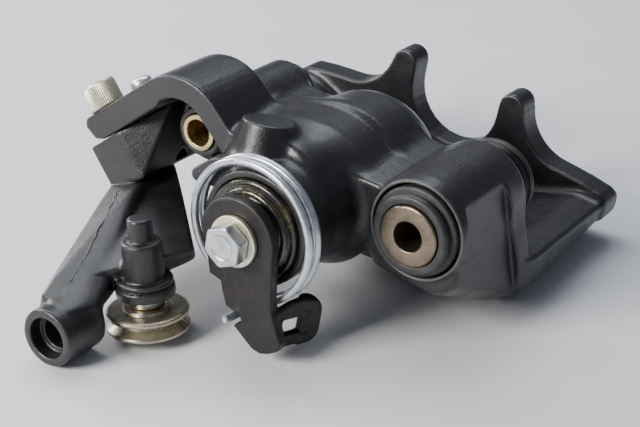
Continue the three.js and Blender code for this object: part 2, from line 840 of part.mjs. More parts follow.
function place(name, made, material) {
  const mesh = new THREE.Mesh(geometryOf(made), material);
  mesh.name = name;
  caliper.add(mesh);
}

place("caliper_body", caliperBody(), BLACK_CASTING);
place("piston", piston(), BRIGHT_STEEL);
place("piston_seal", pistonSeal(), RUBBER);
place("piston_boot", pistonBoot(), RUBBER);
place("lever_shaft", leverShaft(), BRIGHT_STEEL);
place("cam_plate", camPlate(), BRIGHT_STEEL);
for (let index = 0; index < 3; index += 1) {
  place(`ramp_ball_${index + 1}`, rampBall(index), BRIGHT_STEEL);
}
place("pushrod", pushrod(), BRIGHT_STEEL);
place("adjuster_nut", adjusterNut(), BRIGHT_STEEL);
place("pushrod_spring", pushrodSpring(), BRIGHT_STEEL);
place("spring_cage", springCage(), BRIGHT_STEEL);
place("cage_circlip", cageCirclip(), BRIGHT_STEEL);
place("shaft_seal", shaftSeal(), GREASED_RUBBER);
place("parking_lever", parkingLever(), BLACK_STEEL);
place("lever_washer", leverWasher(), YELLOW_ZINC);
place("lever_bolt", leverBolt(), ZINC);
place("return_spring", returnSpring(), ZINC);
place("main_guide_sleeve", mainSleeve(), SLEEVE_STEEL);
place("main_boot_front", mainBootFront(), RUBBER);
place("main_boot_rear", mainBootRear(), RUBBER);
place("second_guide_sleeve", secondSleeve(), YELLOW_ZINC);
place("second_boot_front", secondBootFront(), RUBBER);
place("second_boot_rear", secondBootRear(), RUBBER);
place("cable_bracket", cableBracket(), BLACK_CASTING);
place("bracket_cap_screw", capScrew(), YELLOW_ZINC);
place("bracket_dome_screw", domeScrew(), ZINC);
place("cable_pulley", pulley(), SLEEVE_STEEL);
place("pulley_bush", pulleyBush(), BRONZE);
place("pulley_pin", pulleyPin(), BRIGHT_STEEL);
place("bleed_screw", bleedScrew(), ZINC);
place("bleed_cap", bleedCap(), RUBBER);

caliper.rotation.set(radians(REST_PITCH), radians(REST_ROLL), 0);

// The origin is under the middle of the bounding box, on the bench.
const assembly = new THREE.Group();
assembly.add(caliper);
const box = new THREE.Box3().setFromObject(assembly, true);
const middle = box.getCenter(new THREE.Vector3());
caliper.position.set(-middle.x, -middle.y, -box.min.z);

export default assembly;
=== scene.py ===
"""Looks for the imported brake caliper.

A black painted casting, plated hardware, rubber boots and a wire return spring. Shapes are worked
out in millimetres in the caliper frame, whose origin is midway between the guide sleeves at the
front of the main one: X across, Y along the piston towards the outer leg, Z along the fingers.
CALIPER carries them into the row frame, in metres.
"""

import json
import math
import random

import bmesh
import bpy
import numpy as np
from mathutils import Matrix, Vector


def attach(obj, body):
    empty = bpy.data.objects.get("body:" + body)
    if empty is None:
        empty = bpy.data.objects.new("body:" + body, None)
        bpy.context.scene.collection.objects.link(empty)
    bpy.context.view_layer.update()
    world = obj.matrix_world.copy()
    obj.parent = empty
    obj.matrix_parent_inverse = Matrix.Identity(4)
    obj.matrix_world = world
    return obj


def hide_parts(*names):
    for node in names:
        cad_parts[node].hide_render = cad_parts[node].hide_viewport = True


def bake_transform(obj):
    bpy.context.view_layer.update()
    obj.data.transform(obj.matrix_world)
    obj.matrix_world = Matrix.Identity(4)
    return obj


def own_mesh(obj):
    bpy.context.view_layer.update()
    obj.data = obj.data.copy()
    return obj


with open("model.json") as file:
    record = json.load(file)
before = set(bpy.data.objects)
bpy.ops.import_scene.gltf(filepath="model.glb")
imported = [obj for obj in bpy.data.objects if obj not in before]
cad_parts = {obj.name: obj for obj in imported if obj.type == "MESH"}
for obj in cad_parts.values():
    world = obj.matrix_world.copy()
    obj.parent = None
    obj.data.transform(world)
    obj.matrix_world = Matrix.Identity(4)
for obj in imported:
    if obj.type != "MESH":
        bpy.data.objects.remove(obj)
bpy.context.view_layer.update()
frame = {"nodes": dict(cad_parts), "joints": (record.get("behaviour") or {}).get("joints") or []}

# ---- driving dimensions, in mm
REST_ROLL = 8.5  # degrees about Y
REST_PITCH = -3.5  # degrees about X
GUIDE_X = 44.6
PISTON_Z = -9.0
PISTON_R = 18.0
MAIN_SLEEVE_R = 10.8
SECOND_SLEEVE_R = 6.7
NECK_R = 20.3
BARREL_R = 25.8
COLLAR_R = 27.8
MOUTH_Y = 56.0
LEG_FRONT = 107.0
LEG_BACK = 118.0
BRIDGE_HALF = 71.0
HOLLOW_R = 142.0  # round hollow along the top of the saddle
HOLLOW_Z = 112.2
MAIN_LUG_R = 18.4
MAIN_LUG_FRONT = 5.8
MAIN_LUG_BACK = 49.0
ARM_CENTRE = (-46.0, 2.5)
ARM_OUTER_R = 21.0
ARM_INNER_R = 12.5
ARM_LEG = 37.0
ARM_LEG_INNER_R = 11.4
ARM_THIN_END = 3.0
ARM_FRONT = -8.0
ARM_BACK = 21.5
LEVER_FRONT = -32.5
LEVER_THICK = 4.5
BOLT_SEAT = LEVER_FRONT - 2.4  # the washer's front face
SPRING_R = 24.2
SPRING_WIRE_R = 1.45
SPRING_TURNS = 1.8
PORT_Y = 14.0  # hose port on the barrel
BLEED_Y = 30.5
PULLEY_LEAN = 14.0
PULLEY_TOP = (-28.5, -37.0, -47.0)
CABLE_BOSS = (-41.5, -50.5)
BODY_CELL = 0.62  # cell sizes of the grids that the cast and pressed pieces are skinned on
BRACKET_CELL = 0.55
LEVER_CELL = 0.42
BOLT_CELL = 0.16

# ---- frames
MM = 0.001
pitch, roll = math.radians(REST_PITCH), math.radians(REST_ROLL)
TURN = Matrix.Rotation(pitch, 4, "X") @ Matrix.Rotation(roll, 4, "Y")
lever_pin = Vector(next(j["pos_m"] for j in frame["joints"] if j["name"] == "lever_turn"))
origin = lever_pin - TURN @ Vector((0, 0, PISTON_Z * MM))
CALIPER = Matrix.Translation(origin) @ TURN @ Matrix.Scale(MM, 4)


def aim(place, direction):
    """Carries a shape made along +Y at the origin to a place and a direction, in mm."""
    turn = Vector(direction).normalized().rotation_difference(Vector((0, 1, 0))).inverted()
    return Matrix.Translation(Vector(place)) @ turn.to_matrix().to_4x4()


leg_direction = Vector((-1, 0, -1)).normalized()
leg_normal = Vector((-1, 0, 1)).normalized()
arch_end = Vector((ARM_CENTRE[0], 0, ARM_CENTRE[1])) + leg_normal * ARM_OUTER_R
lean = math.radians(PULLEY_LEAN)
pulley_axis = Vector((-math.sin(lean), 0, math.cos(lean)))
PULLEY = aim(PULLEY_TOP, pulley_axis)
hose_direction = Vector((-1, 0, -0.45)).normalized()


def screw_seat(y, along):
    seat = arch_end + leg_direction * along
    return Vector((seat.x, y, seat.z))


CAP_SEAT = screw_seat(-1, 30.8)
DOME_SEAT = screw_seat(14, 25.5)


# ---- meshes
def add_mesh(
    name, points, faces, matrix=CALIPER, body="housing", replaces=None, slot=None, sharp=40
):
    """A new piece from points in mm, smooth shaded except over its sharp edges."""
    mesh = bpy.data.meshes.new(name)
    mesh.from_pydata([matrix @ Vector(p) for p in points], [], faces)
    mesh.validate()
    mesh.update()
    mesh.polygons.foreach_set("use_smooth", [True] * len(mesh.polygons))
    if sharp:
        mesh.set_sharp_from_angle(angle=math.radians(sharp))
    piece = bpy.data.objects.new(name, mesh)
    bpy.context.scene.collection.objects.link(piece)
    if body:
        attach(piece, body)
    if replaces:
        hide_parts(replaces)
    return piece


def turned(name, profile, place, sides=96, radius_at=None, **how):
    """A closed (radius, y) profile turned about Y. radius_at(row, angle, radius) may change it."""
    area = sum(
        r0 * y1 - r1 * y0 for (r0, y0), (r1, y1) in zip(profile, profile[1:] + profile[:1])
    )
    order = range(len(profile)) if area >= 0 else reversed(range(len(profile)))
    points, rings = [], []
    for row in order:
        r, y = profile[row]
        if r == 0:
            points.append((0, y, 0))
            rings.append([len(points) - 1] * sides)
            continue
        ring = []
        for i in range(sides):
            angle = 2 * math.pi * i / sides
            wide = radius_at(row, angle, r) if radius_at else r
            points.append((wide * math.cos(angle), y, wide * math.sin(angle)))
            ring.append(len(points) - 1)
        rings.append(ring)
    faces = []
    for a, b in zip(rings, rings[1:] + rings[:1]):
        for i in range(sides):
            j = (i + 1) % sides
            corners = [a[i], b[i], b[j], a[j]]
            corners = [c for k, c in enumerate(corners) if c not in corners[:k]]
            if len(corners) > 2:
                faces.append(corners)
    return add_mesh(name, points, faces, matrix=CALIPER @ place, **how)


def arc(centre, radius, start, end, steps):
    """Points on a round stretch of a profile or outline, angles in degrees."""
    made = []
    for i in range(steps + 1):
        angle = math.radians(start + (end - start) * i / steps)
        made.append((centre[0] + radius * math.cos(angle), centre[1] + radius * math.sin(angle)))
    return made


def smooth_path(points, steps):
    """Catmull-Rom points through the given ones."""
    points = [Vector(p) for p in points]
    padded = [points[0] * 2 - points[1], *points, points[-1] * 2 - points[-2]]
    made = []
    for a, b, c, d in zip(padded, padded[1:], padded[2:], padded[3:]):
        for i in range(steps):
            t = i / steps
            bend = (2 * a - 5 * b + 4 * c - d) * t**2
            twist = (3 * b - a - 3 * c + d) * t**3
            made.append(0.5 * (2 * b + (c - a) * t + bend + twist))
    made.append(points[-1])
    return made


def swept(name, path, radius, sides=14, **how):
    """A round wire along a path, with rounded ends."""
    path = [Vector(p) for p in path]
    tangents = [
        (path[min(i + 1, len(path) - 1)] - path[max(i - 1, 0)]).normalized()
        for i in range(len(path))
    ]
    side = tangents[0].orthogonal().normalized()
    points, rings = [], []

    def ring(centre, tangent, wide):
        nonlocal side
        side = (side - tangent * side.dot(tangent)).normalized()
        other = tangent.cross(side)
        start = len(points)
        for i in range(sides):
            angle = 2 * math.pi * i / sides
            points.append(centre + (side * math.cos(angle) + other * math.sin(angle)) * wide)
        rings.append(list(range(start, start + sides)))

    def rounded_end(end, inward, turns):
        for turn in turns:
            share = math.cos(math.radians(turn))
            ring(path[end] + inward * (radius * 0.5 * (1 - share)), tangents[end], radius * share)

    rounded_end(0, tangents[0], (70, 40, 15))
    for centre, tangent in zip(path[1:-1], tangents[1:-1]):
        ring(centre, tangent, radius)
    rounded_end(-1, -tangents[-1], (15, 40, 70))
    faces = []
    for a, b in zip(rings, rings[1:]):
        for i in range(sides):
            j = (i + 1) % sides
            faces.append([a[i], a[j], b[j], b[i]])
    faces.append(rings[0][::-1])
    faces.append(rings[-1])
    return add_mesh(name, points, faces, **how)


# ---- cast shapes as distance fields
def polygon_distance(points, p, q):
    """Signed distance from (p, q) to a closed outline, negative inside."""
    best = np.full(np.broadcast(p, q).shape, 1e9, np.float32)
    inside = np.zeros(best.shape, bool)
    for (ax, ay), (bx, by) in zip(points, points[1:] + points[:1]):
        ex, ey = bx - ax, by - ay
        length = ex * ex + ey * ey
        if length == 0:
            continue
        t = np.clip(((p - ax) * ex + (q - ay) * ey) / length, 0, 1)
        best = np.minimum(best, (p - ax - t * ex) ** 2 + (q - ay - t * ey) ** 2)
        if ey != 0:
            crosses = ((ay > q) != (by > q)) & (p < ex * (q - ay) / ey + ax)
            inside ^= crosses
    best = np.sqrt(best)
    return np.where(inside, -best, best).astype(np.float32)


def joined(a, b, blend=0.0):
    """Union, with a fillet of about that size."""
    if blend <= 0:
        return np.minimum(a, b)
    h = np.maximum(blend - np.abs(a - b), 0) / blend
    return np.minimum(a, b) - h * h * blend * 0.25


def cut(a, b, blend=0.0):
    """a without b."""
    return -joined(-a, b, blend)


def rounded_pair(a, b, edge):
    """Intersection of two fields with an edge of that radius."""
    a, b = a + edge, b + edge
    outside = np.sqrt(np.maximum(a, 0) ** 2 + np.maximum(b, 0) ** 2)
    return np.minimum(np.maximum(a, b), 0) + outside - edge


class Grid:
    """Samples of space in the caliper frame, in mm, on which shapes are joined and skinned."""

    def __init__(self, low, high, cell):
        self.low, self.cell = low, cell
        axes = [
            (a + cell * np.arange(int((b - a) / cell) + 2)).astype(np.float32)
            for a, b in zip(low, high)
        ]
        self.x = axes[0][:, None, None]
        self.y = axes[1][None, :, None]
        self.z = axes[2][None, None, :]

    def plate(self, outline, y0, y1, edge=1.0):
        """An outline in X and Z between two depths, with rounded edges."""
        flat = polygon_distance(outline, self.x, self.z)
        depth = np.maximum(y0 - self.y, self.y - y1)
        return rounded_pair(flat, depth, edge)

    def lathe(self, profile, x=0.0, z=0.0):
        """A profile of (radius, y) turned about an axis along Y."""
        step = 0.25  # between the radii at which the distance is worked out
        reach = np.hypot(self.x - x, self.z - z)[:, 0, :]
        radii = np.arange(0, float(reach.max()) + 2 * step, step, np.float32)
        table = polygon_distance(
            list(profile) + [(-r, y) for r, y in reversed(profile) if r > 0],
            radii[:, None],
            self.y[0, :, 0][None, :],
        )
        place = reach / step
        index = place.astype(np.int32)
        share = (place - index)[..., None].astype(np.float32)
        made = table[index] * (1 - share) + table[index + 1] * share
        return made.transpose(0, 2, 1)

    def rod(self, place, direction, y0, y1, radius, edge=0.5, end_radius=None):
        """A round bar, or a cone, from y0 to y1 along a direction from a place."""
        d = Vector(direction).normalized()
        px, py, pz = self.x - place[0], self.y - place[1], self.z - place[2]
        along = px * d.x + py * d.y + pz * d.z
        away = np.sqrt(np.maximum(px * px + py * py + pz * pz - along * along, 0))
        if end_radius is not None:
            radius = radius + (end_radius - radius) * np.clip((along - y0) / (y1 - y0), 0, 1)
        return rounded_pair(away - radius, np.maximum(y0 - along, along - y1), edge)

    def hull(self, points, edge=2.0):
        """The convex hull of some points, with its edges eased."""
        shape = bmesh.new()
        for point in points:
            shape.verts.new(point)
        bmesh.ops.convex_hull(shape, input=shape.verts)
        shape.normal_update()
        centre = sum((Vector(p) for p in points), Vector()) / len(points)
        planes = []
        for face in shape.faces:
            normal = face.normal.copy()
            if normal.dot(face.calc_center_median() - centre) < 0:
                normal.negate()
            if not any(normal.dot(known) > 0.9995 for known, _ in planes):
                planes.append((normal, face.calc_center_median().copy()))
        shape.free()
        made = None
        for normal, place in planes:
            side = self.half_space(place, normal)
            made = side if made is None else cut(made, -side, edge)
        return made

    def half_space(self, place, normal):
        """Negative on the far side of a plane's normal."""
        n = Vector(normal).normalized()
        return (self.x - place[0]) * n.x + (self.y - place[1]) * n.y + (self.z - place[2]) * n.z


CORNERS = [(i, j, k) for i in (0, 1) for j in (0, 1) for k in (0, 1)]  # of a cell


def sampled(field, at):
    """Value and slope of the field, per cell, at places counted in cells."""
    base = np.floor(at).astype(int)
    share = at - base
    value = np.zeros(len(at))
    slope = np.zeros((len(at), 3))
    for i, j, k in CORNERS:
        corner = field[base[:, 0] + i, base[:, 1] + j, base[:, 2] + k]
        wx, wy, wz = (share[:, a] if o else 1 - share[:, a] for a, o in enumerate((i, j, k)))
        value += corner * wx * wy * wz
        slope[:, 0] += corner * (1 if i else -1) * wy * wz
        slope[:, 1] += corner * (1 if j else -1) * wx * wz
        slope[:, 2] += corner * (1 if k else -1) * wx * wy
    return value, slope


def skinned(name, grid, field, **how):
    """A surface-nets skin of the field: a point in each cell the surface crosses."""
    whole = np.broadcast(grid.x, grid.y, grid.z).shape
    field = np.ascontiguousarray(np.broadcast_to(field, whole))
    inside = field < 0
    shape = tuple(n - 1 for n in field.shape)

    def corner(array, offset):
        return array[tuple(slice(o, o + n) for o, n in zip(offset, shape))]

    count = sum(corner(inside, o).astype(np.int8) for o in CORNERS)
    cells = np.argwhere((count > 0) & (count < 8))
    values = np.stack([field[tuple((cells + o).T)] for o in CORNERS], 1)
    total = np.zeros((len(cells), 3), np.float64)
    hits = np.zeros(len(cells))
    for a, first in enumerate(CORNERS):
        for b, second in enumerate(CORNERS):
            if a < b and sum(abs(p - q) for p, q in zip(first, second)) == 1:
                va, vb = values[:, a], values[:, b]
                crossed = (va < 0) != (vb < 0)
                t = np.where(crossed, va / np.where(crossed, va - vb, 1), 0)
                point = np.array(first) + t[:, None] * (np.array(second) - np.array(first))
                total += np.where(crossed[:, None], point, 0)
                hits += crossed
    local = cells + total / hits[:, None]
    for _ in range(2):  # slide each point onto the surface, inside its own cell
        value, slope = sampled(field, local)
        local -= slope * (value / np.maximum((slope**2).sum(1), 1e-6))[:, None] * 0.9
        local = np.clip(local, cells + 0.02, cells + 0.98)
    points = np.array(grid.low) + grid.cell * local
    number = np.full(shape, -1, np.int64)
    number[tuple(cells.T)] = np.arange(len(cells))
    faces = []
    for axis in range(3):
        u, v = [a for a in range(3) if a != axis]
        if axis == 1:
            u, v = v, u
        ahead = np.roll(inside, -1, axis)
        changed = inside != ahead
        for a, ends in ((axis, [-1]), (u, [0, -1]), (v, [0, -1])):
            np.moveaxis(changed, a, 0)[ends] = False
        edges = np.argwhere(changed)
        step_u, step_v = np.eye(3, dtype=int)[u], np.eye(3, dtype=int)[v]
        shifts = (step_u * 0, step_u, step_u + step_v, step_v)
        quad = np.stack([number[tuple((edges - shift).T)] for shift in shifts], 1)
        leaving = inside[tuple(edges.T)]
        quad[~leaving] = quad[~leaving][:, ::-1]
        faces.append(quad)
    faces = np.concatenate(faces)
    return add_mesh(name, points.tolist(), faces.tolist(), sharp=None, **how)


# ---- the caliper's casting
def belly(half, middle, side):
    """Section of the saddle over the disc, before its hollow is taken out of the top."""
    points = [(-half, -16.6), (half, -16.6)]
    for i in range(13):
        share = i / 6 - 1
        points.append((half * share, middle + (side - middle) * share**2))
    return points


def leg_outline():
    """Outer leg: two fingers with a round gap between them and a hollow outside each."""
    half = BRIDGE_HALF - 1
    right = [
        (30, -38), (half, -22.5), *arc((65, -18.6), 5.2, -10, 62, 5), (60, -12.6),
        *arc((49, 8), 19.5, -90, -171.5, 12), *arc((24.3, 5), 5.2, 0, 180, 10),
    ]
    gap = arc((0, -1), 19, 0, -180, 16)
    left = [(-x, z) for x, z in reversed(right)]
    return right + gap + left


def arm_outline():
    """Bent arm: an arch over the second sleeve with a straight leg to each side."""
    x, z = ARM_CENTRE
    left, right, right_leg = math.radians(135), math.radians(52), 20

    def past(radius, angle, length, side):
        return (
            x + radius * math.cos(angle) + side * length * math.sin(angle),
            z + radius * math.sin(angle) - side * length * math.cos(angle),
        )

    return [
        past(ARM_OUTER_R, right, right_leg, 1),
        *arc(ARM_CENTRE, ARM_OUTER_R, 52, 135, 12),
        past(ARM_OUTER_R, left, ARM_LEG, -1),
        past(ARM_OUTER_R - 2.5, left, ARM_LEG + 2, -1),
        past(ARM_LEG_INNER_R + 1.5, left, ARM_LEG + 0.5, -1),
        past(ARM_LEG_INNER_R, left, ARM_LEG - 3, -1),
        past(ARM_LEG_INNER_R, left, ARM_THIN_END, -1),
        *arc(ARM_CENTRE, ARM_INNER_R, 135, 52, 10),
        past(ARM_INNER_R, right, right_leg, 1),
    ]


def layers(*sections):
    """Points of several (y, outline in X and Z) sections."""
    return [(x, y, z) for y, outline in sections for x, z in outline]


def stepped(start, *steps):
    """Profile of a bore that starts at a y, from (radius, y where that radius ends) steps."""
    profile = [(0, start)]
    for radius, end in steps:
        profile += [(radius, start), (radius, end)]
        start = end
    return profile + [(0, start)]


PISTON_BORE = stepped(2, (18.3, 51), (22, 60))
NECK_BORE = stepped(-26, (18, -18), (7.4, 3))
MAIN_BORE = stepped(2, (15.8, 12), (11.1, 42), (13.6, 52))
MAIN_RIM_SEAT = stepped(2, (16.9, 9))
SECOND_BORE = stepped(7, (9.8, 14), (7, 50), (9.8, 58))
CABLE_BORE = stepped(-76, (7.2, -68), (5.3, -33))
LEVER_HOLE = stepped(-40, (4.3, 0))


def caliper_body():
    """Cylinder, shoulder, arm, lugs, saddle and outer leg, in one casting."""
    grid = Grid((-90, -25, -45), (74, 120.5, 28), BODY_CELL)
    barrel = grid.lathe(
        [
            (0, -22), (NECK_R, -22), (NECK_R, -4), (22, 5), (BARREL_R, 14), (BARREL_R, 29),
            (COLLAR_R, 31.5), (COLLAR_R - 0.3, MOUTH_Y - 7), (COLLAR_R - 1.2, MOUTH_Y - 3.5),
            (COLLAR_R - 3, MOUTH_Y), (0, MOUTH_Y),
        ],
        z=PISTON_Z,
    )
    front = [(-30, 4), (-24, 11), (-16, 15.5), (-8, 17.5), (-1, 17.5), (4, 15.5), (9, 11), (12, 4)]
    back = [(-36, 4), (-32, 11), (-24, 15.5), (-12, 17), (0, 16.5), (8, 14), (12, 4)]
    shoulder = grid.hull(layers((-5, front), (34, back)), 3)
    arm = grid.plate(arm_outline(), ARM_FRONT, ARM_BACK, 1)
    stub = grid.rod((-12.5, -4.5, 0), (-0.1, 0.2, 1), 2, 19.2, 12, 0.6, 9)
    horn_end = [(-33, -3), (-31.5, -6.5), (-14, -4), (-15, 8), (-24, 6)]
    horn = grid.hull(layers((-16.5, horn_end), (-11, horn_end)), 1.5)

    web_front = [
        (15.8, 8.1), (26, 7.6), (44.6, 9), (57, 3), (61, -6), (62, -15),
        (56, -21), (31, -21), (18.8, -1.5),
    ]
    web_back = [
        (4, 12), (40, 10.5), (62, 3), (67, -10), (70, -18),
        (70, -31), (66, -35), (56, -38), (20, -36), (0, -20),
    ]
    web = grid.hull(layers((8, web_front), (49, web_back)), 1.6)
    under_front = [(30, -21), (56, -21), (58, -12), (26, -10)]
    under_back = [(18, -37.5), (60, -36), (66, -28), (18, -18)]
    under = grid.hull(layers((10, under_front), (42, under_back)), 1.6)
    lug = grid.lathe(
        [
            (0, MAIN_LUG_FRONT), (MAIN_LUG_R - 0.9, MAIN_LUG_FRONT),
            (MAIN_LUG_R - 0.5, MAIN_LUG_FRONT + 0.6), (MAIN_LUG_R, MAIN_LUG_FRONT + 5),
            (MAIN_LUG_R, MAIN_LUG_BACK - 0.6), (MAIN_LUG_R - 0.6, MAIN_LUG_BACK),
            (0, MAIN_LUG_BACK),
        ],
        x=GUIDE_X,
    )
    side = joined(joined(web, under, 3), lug, 1.6)

    second = grid.lathe([(0, 8), (12, 8), (12.3, 8.5), (12.3, MOUTH_Y), (0, MOUTH_Y)], x=-GUIDE_X)
    second_web = grid.plate([(-40, -6), (-14, -6), (-14, 8), (-40, 8)], 10, 54, 2)
    second = joined(second, second_web, 4)

    leg = grid.plate(leg_outline(), LEG_FRONT, LEG_BACK, 0.9)
    bridge = grid.hull(
        layers(
            (38, belly(BRIDGE_HALF - 6, -41, -28.5)),
            (48, belly(BRIDGE_HALF, -42, -29.5)),
            (LEG_BACK, belly(BRIDGE_HALF - 1, -41, -23)),
        ),
        2.4,
    )
    hollow = grid.rod((0, 0, HOLLOW_Z), (0, 1, 0), 30, 130, HOLLOW_R)
    bridge = cut(bridge, hollow, 1.6)
    bridge = joined(bridge, leg, 4)

    metal = barrel
    for shape, fillet in (
        (shoulder, 5), (arm, 4), (stub, 3), (horn, 4), (side, 3), (second, 4), (bridge, 1.4),
    ):
        metal = joined(metal, shape, fillet)
    # A flat on the right: it leans outwards going down, and widens along Y as it does.
    near, far, out = MAIN_LUG_FRONT + 6, 36, 90
    facet = grid.hull(
        [(x, y, 18) for y in (near, far) for x in (56.5, out)]
        + [(x, y, -42) for y in (near - 11, far + 11) for x in (71, out)],
        1,
    )
    metal = cut(metal, facet, 0.5)

    hose = grid.rod((0, PORT_Y, PISTON_Z), hose_direction, 0, 36, 8, 1)
    bleed = grid.rod((0, BLEED_Y, PISTON_Z), hose_direction, 0, 34, 5.5, 1)
    metal = joined(metal, joined(hose, bleed, 3), 4)

    for hole, edge in (
        (grid.lathe(PISTON_BORE, z=PISTON_Z), 0.8),
        (grid.lathe(NECK_BORE, z=PISTON_Z), 0.8),
        (grid.lathe(MAIN_BORE, x=GUIDE_X), 0.5),
        (grid.lathe(MAIN_RIM_SEAT, x=GUIDE_X), 0.3),
        (grid.lathe(SECOND_BORE, x=-GUIDE_X), 0.5),
        (grid.rod((0, PORT_Y, PISTON_Z), hose_direction, 10, 38, 4.5), 0.8),
        (grid.rod((0, BLEED_Y, PISTON_Z), hose_direction, 10, 36, 3.8), 0.8),
        (grid.rod(CAP_SEAT, leg_normal, -14, 4, 3.4), 0.4),
        (grid.rod(DOME_SEAT, leg_normal, -14, 4, 3.4), 0.4),
    ):
        metal = cut(metal, hole, edge)
    return skinned("caliper_casting", grid, metal, replaces="caliper_body", slot="black_casting")


body = caliper_body()

# ---- the cable bracket
def cable_bracket():
    """Bolted casting with the cable's boss and the tower that holds the pulley."""
    grid = Grid((-90, -75, -63), (-20, 33, 10), BRACKET_CELL)
    pad_front = [(-86, -16), (-73.5, -7), (-58.4, -21.4), (-72.4, -30), (-80, -20.5)]
    pad_back = [(-86, -16), (-59, 8), (-59, -22), (-72, -30), (-80, -20.5)]
    pad = grid.hull(layers((-8, pad_front), (6, pad_back), (30, pad_back)), 0.8)
    under_arm = arch_end - leg_normal * (ARM_OUTER_R - ARM_LEG_INNER_R + 0.3)
    pad = cut(pad, -grid.half_space(under_arm, leg_normal), 0.6)
    rib = grid.hull(
        [
            (-72.4, -8, -29), (-59.5, -8, -23), (-60.5, 4, -24), (-73, 4, -28),
            (-51.4, -66, -41), (-38, -66, -41), (-34, -57, -41),
            (-51.4, -64, -55), (-36, -64, -57), (-33, -56, -52),
        ],
        1,
    )
    web = grid.hull(
        [
            (-66, -8, -27), (-59, 12, -22), (-60, 12, -27), (-24, -20, -29), (-24, -18, -34),
            (-33, -22, -41), (-46, -52, -45), (-46, -52, -38), (-30, -34, -30), (-32, -34, -40),
        ],
        1,
    )
    boss = grid.lathe([(0, -73), (9.7, -73), (10.25, -72.4), (10.25, -55), (0, -55)], *CABLE_BOSS)
    metal = joined(joined(pad, rib, 1), web, 1)
    metal = joined(metal, boss, 3)

    def upright(*sizes):
        return grid.rod(PULLEY_TOP, pulley_axis, *sizes)

    rings = np.minimum(upright(4.5, 8.2, 10.3, 0.6), upright(8.8, 10.6, 9.8, 0.5))
    foot = np.minimum(rings, upright(4.5, 10.4, 9, 0.3))
    tower = joined(foot, upright(4.5, 24.3, 7, 1), 0.5)
    tower = joined(tower, upright(20, 32.5, 4.3, 1), 1)
    metal = joined(metal, tower, 1.6)
    for hole, edge in (
        (grid.lathe(CABLE_BORE, *CABLE_BOSS), 0.5),
        (upright(0, 24, 4.3), 0.3),
        (upright(-11, 4.2, 16, 1), 0.8),
        (grid.rod(CAP_SEAT, leg_normal, -28, -4, 3.3), 0.3),
        (grid.rod(DOME_SEAT, leg_normal, -28, -4, 3.3), 0.3),
    ):
        metal = cut(metal, hole, edge)
    return skinned(
        "bracket_casting", grid, metal, replaces="cable_bracket", slot="black_casting"
    )


bracket = cable_bracket()


def parting_line():
    """Ragged flash left along the rib where the two halves of the mould met."""
    ridge = [
        (-66.3, -9.5, -27.3), (-63.9, -15, -27.8), (-60.5, -22.3, -29), (-55.7, -33.7, -31.1),
        (-52.7, -40.3, -33.1), (-49, -50.7, -36.4), (-47.1, -56.7, -38.2),
    ]
    ragged = random.Random(7)
    wander = ((-0.35, 0.35), (-0.2, 0.2), (-0.15, 0.1))
    path = [
        p + Vector([ragged.uniform(low, high) for low, high in wander])
        for p in smooth_path(ridge, 9)
    ]
    return swept("parting_line", path, 0.34, 8, slot="black_casting")


flash = parting_line()

# ---- the parking lever
def from_hub(outline):
    """An outline that is given from the lever's axis."""
    return [(x, z + PISTON_Z) for x, z in outline]


def lever_outline():
    rows = [
        (14.6, -1), (16.5, -14.5), (17.8, -20.1), (23.2, -30.1), (22.6, -33), (19.5, -35.6),
        (16, -37.2), (12.5, -36.8), (3.6, -31.4),
    ]
    notch = arc((4.2, -28.9), 2.5, -74, 109, 8)
    lobe = [(-0.2, -25.6), (-2.6, -20.5), (-3.6, -17.6), (-8.4, -16.8), (-10.2, -11), (-14.2, -2)]
    hub = arc((0, 0), 14.6, 188, -4, 24)
    return from_hub(rows + notch + lobe + hub)


def parking_lever():
    """Steel plate with a slotted tab for the cable end."""
    grid = Grid((-18, -36, -50), (28, 2, 8), LEVER_CELL)
    back = LEVER_FRONT + LEVER_THICK
    arm = grid.plate(lever_outline(), LEVER_FRONT, back, 0.7)
    # The tab for the cable end is bent out of the plate: u runs along it and w through it.
    bend_x, turn = 19, math.radians(70.7)
    u = (grid.x - bend_x) * math.cos(turn) + (grid.y - back) * math.sin(turn)
    w = (grid.y - back) * math.cos(turn) - (grid.x - bend_x) * math.sin(turn)
    outline = [
        (-3, -21.6), (5, -18.8),
        *arc((10.6, -24.9), 6.7, 100, 0, 8),
        *arc((12.4, -31.3), 5, 0, -90, 6),
        (3, -36.3), (-3, -33),
    ]
    slot = from_hub([(1.8, -25), (9.5, -25), (9.5, -31.5), (1.8, -31.5)])
    flat = polygon_distance(from_hub(outline), u, grid.z)
    tab = rounded_pair(flat, np.maximum(-w, w - 3), 0.9)
    curl = rounded_pair(
        np.maximum(np.maximum(flat, -flat - 4.2), 9.5 - u), np.abs(w - 1.6) - 2.6, 1.2
    )
    tab = cut(joined(tab, curl, 1.5), polygon_distance(slot, u, grid.z), 0.6)
    metal = joined(arm, tab, 2.2)
    metal = cut(metal, grid.lathe(LEVER_HOLE, z=PISTON_Z), 0.3)
    return skinned(
        "lever_plate", grid, metal, body="lever", replaces="parking_lever", slot="dark_steel"
    )


lever = parking_lever()


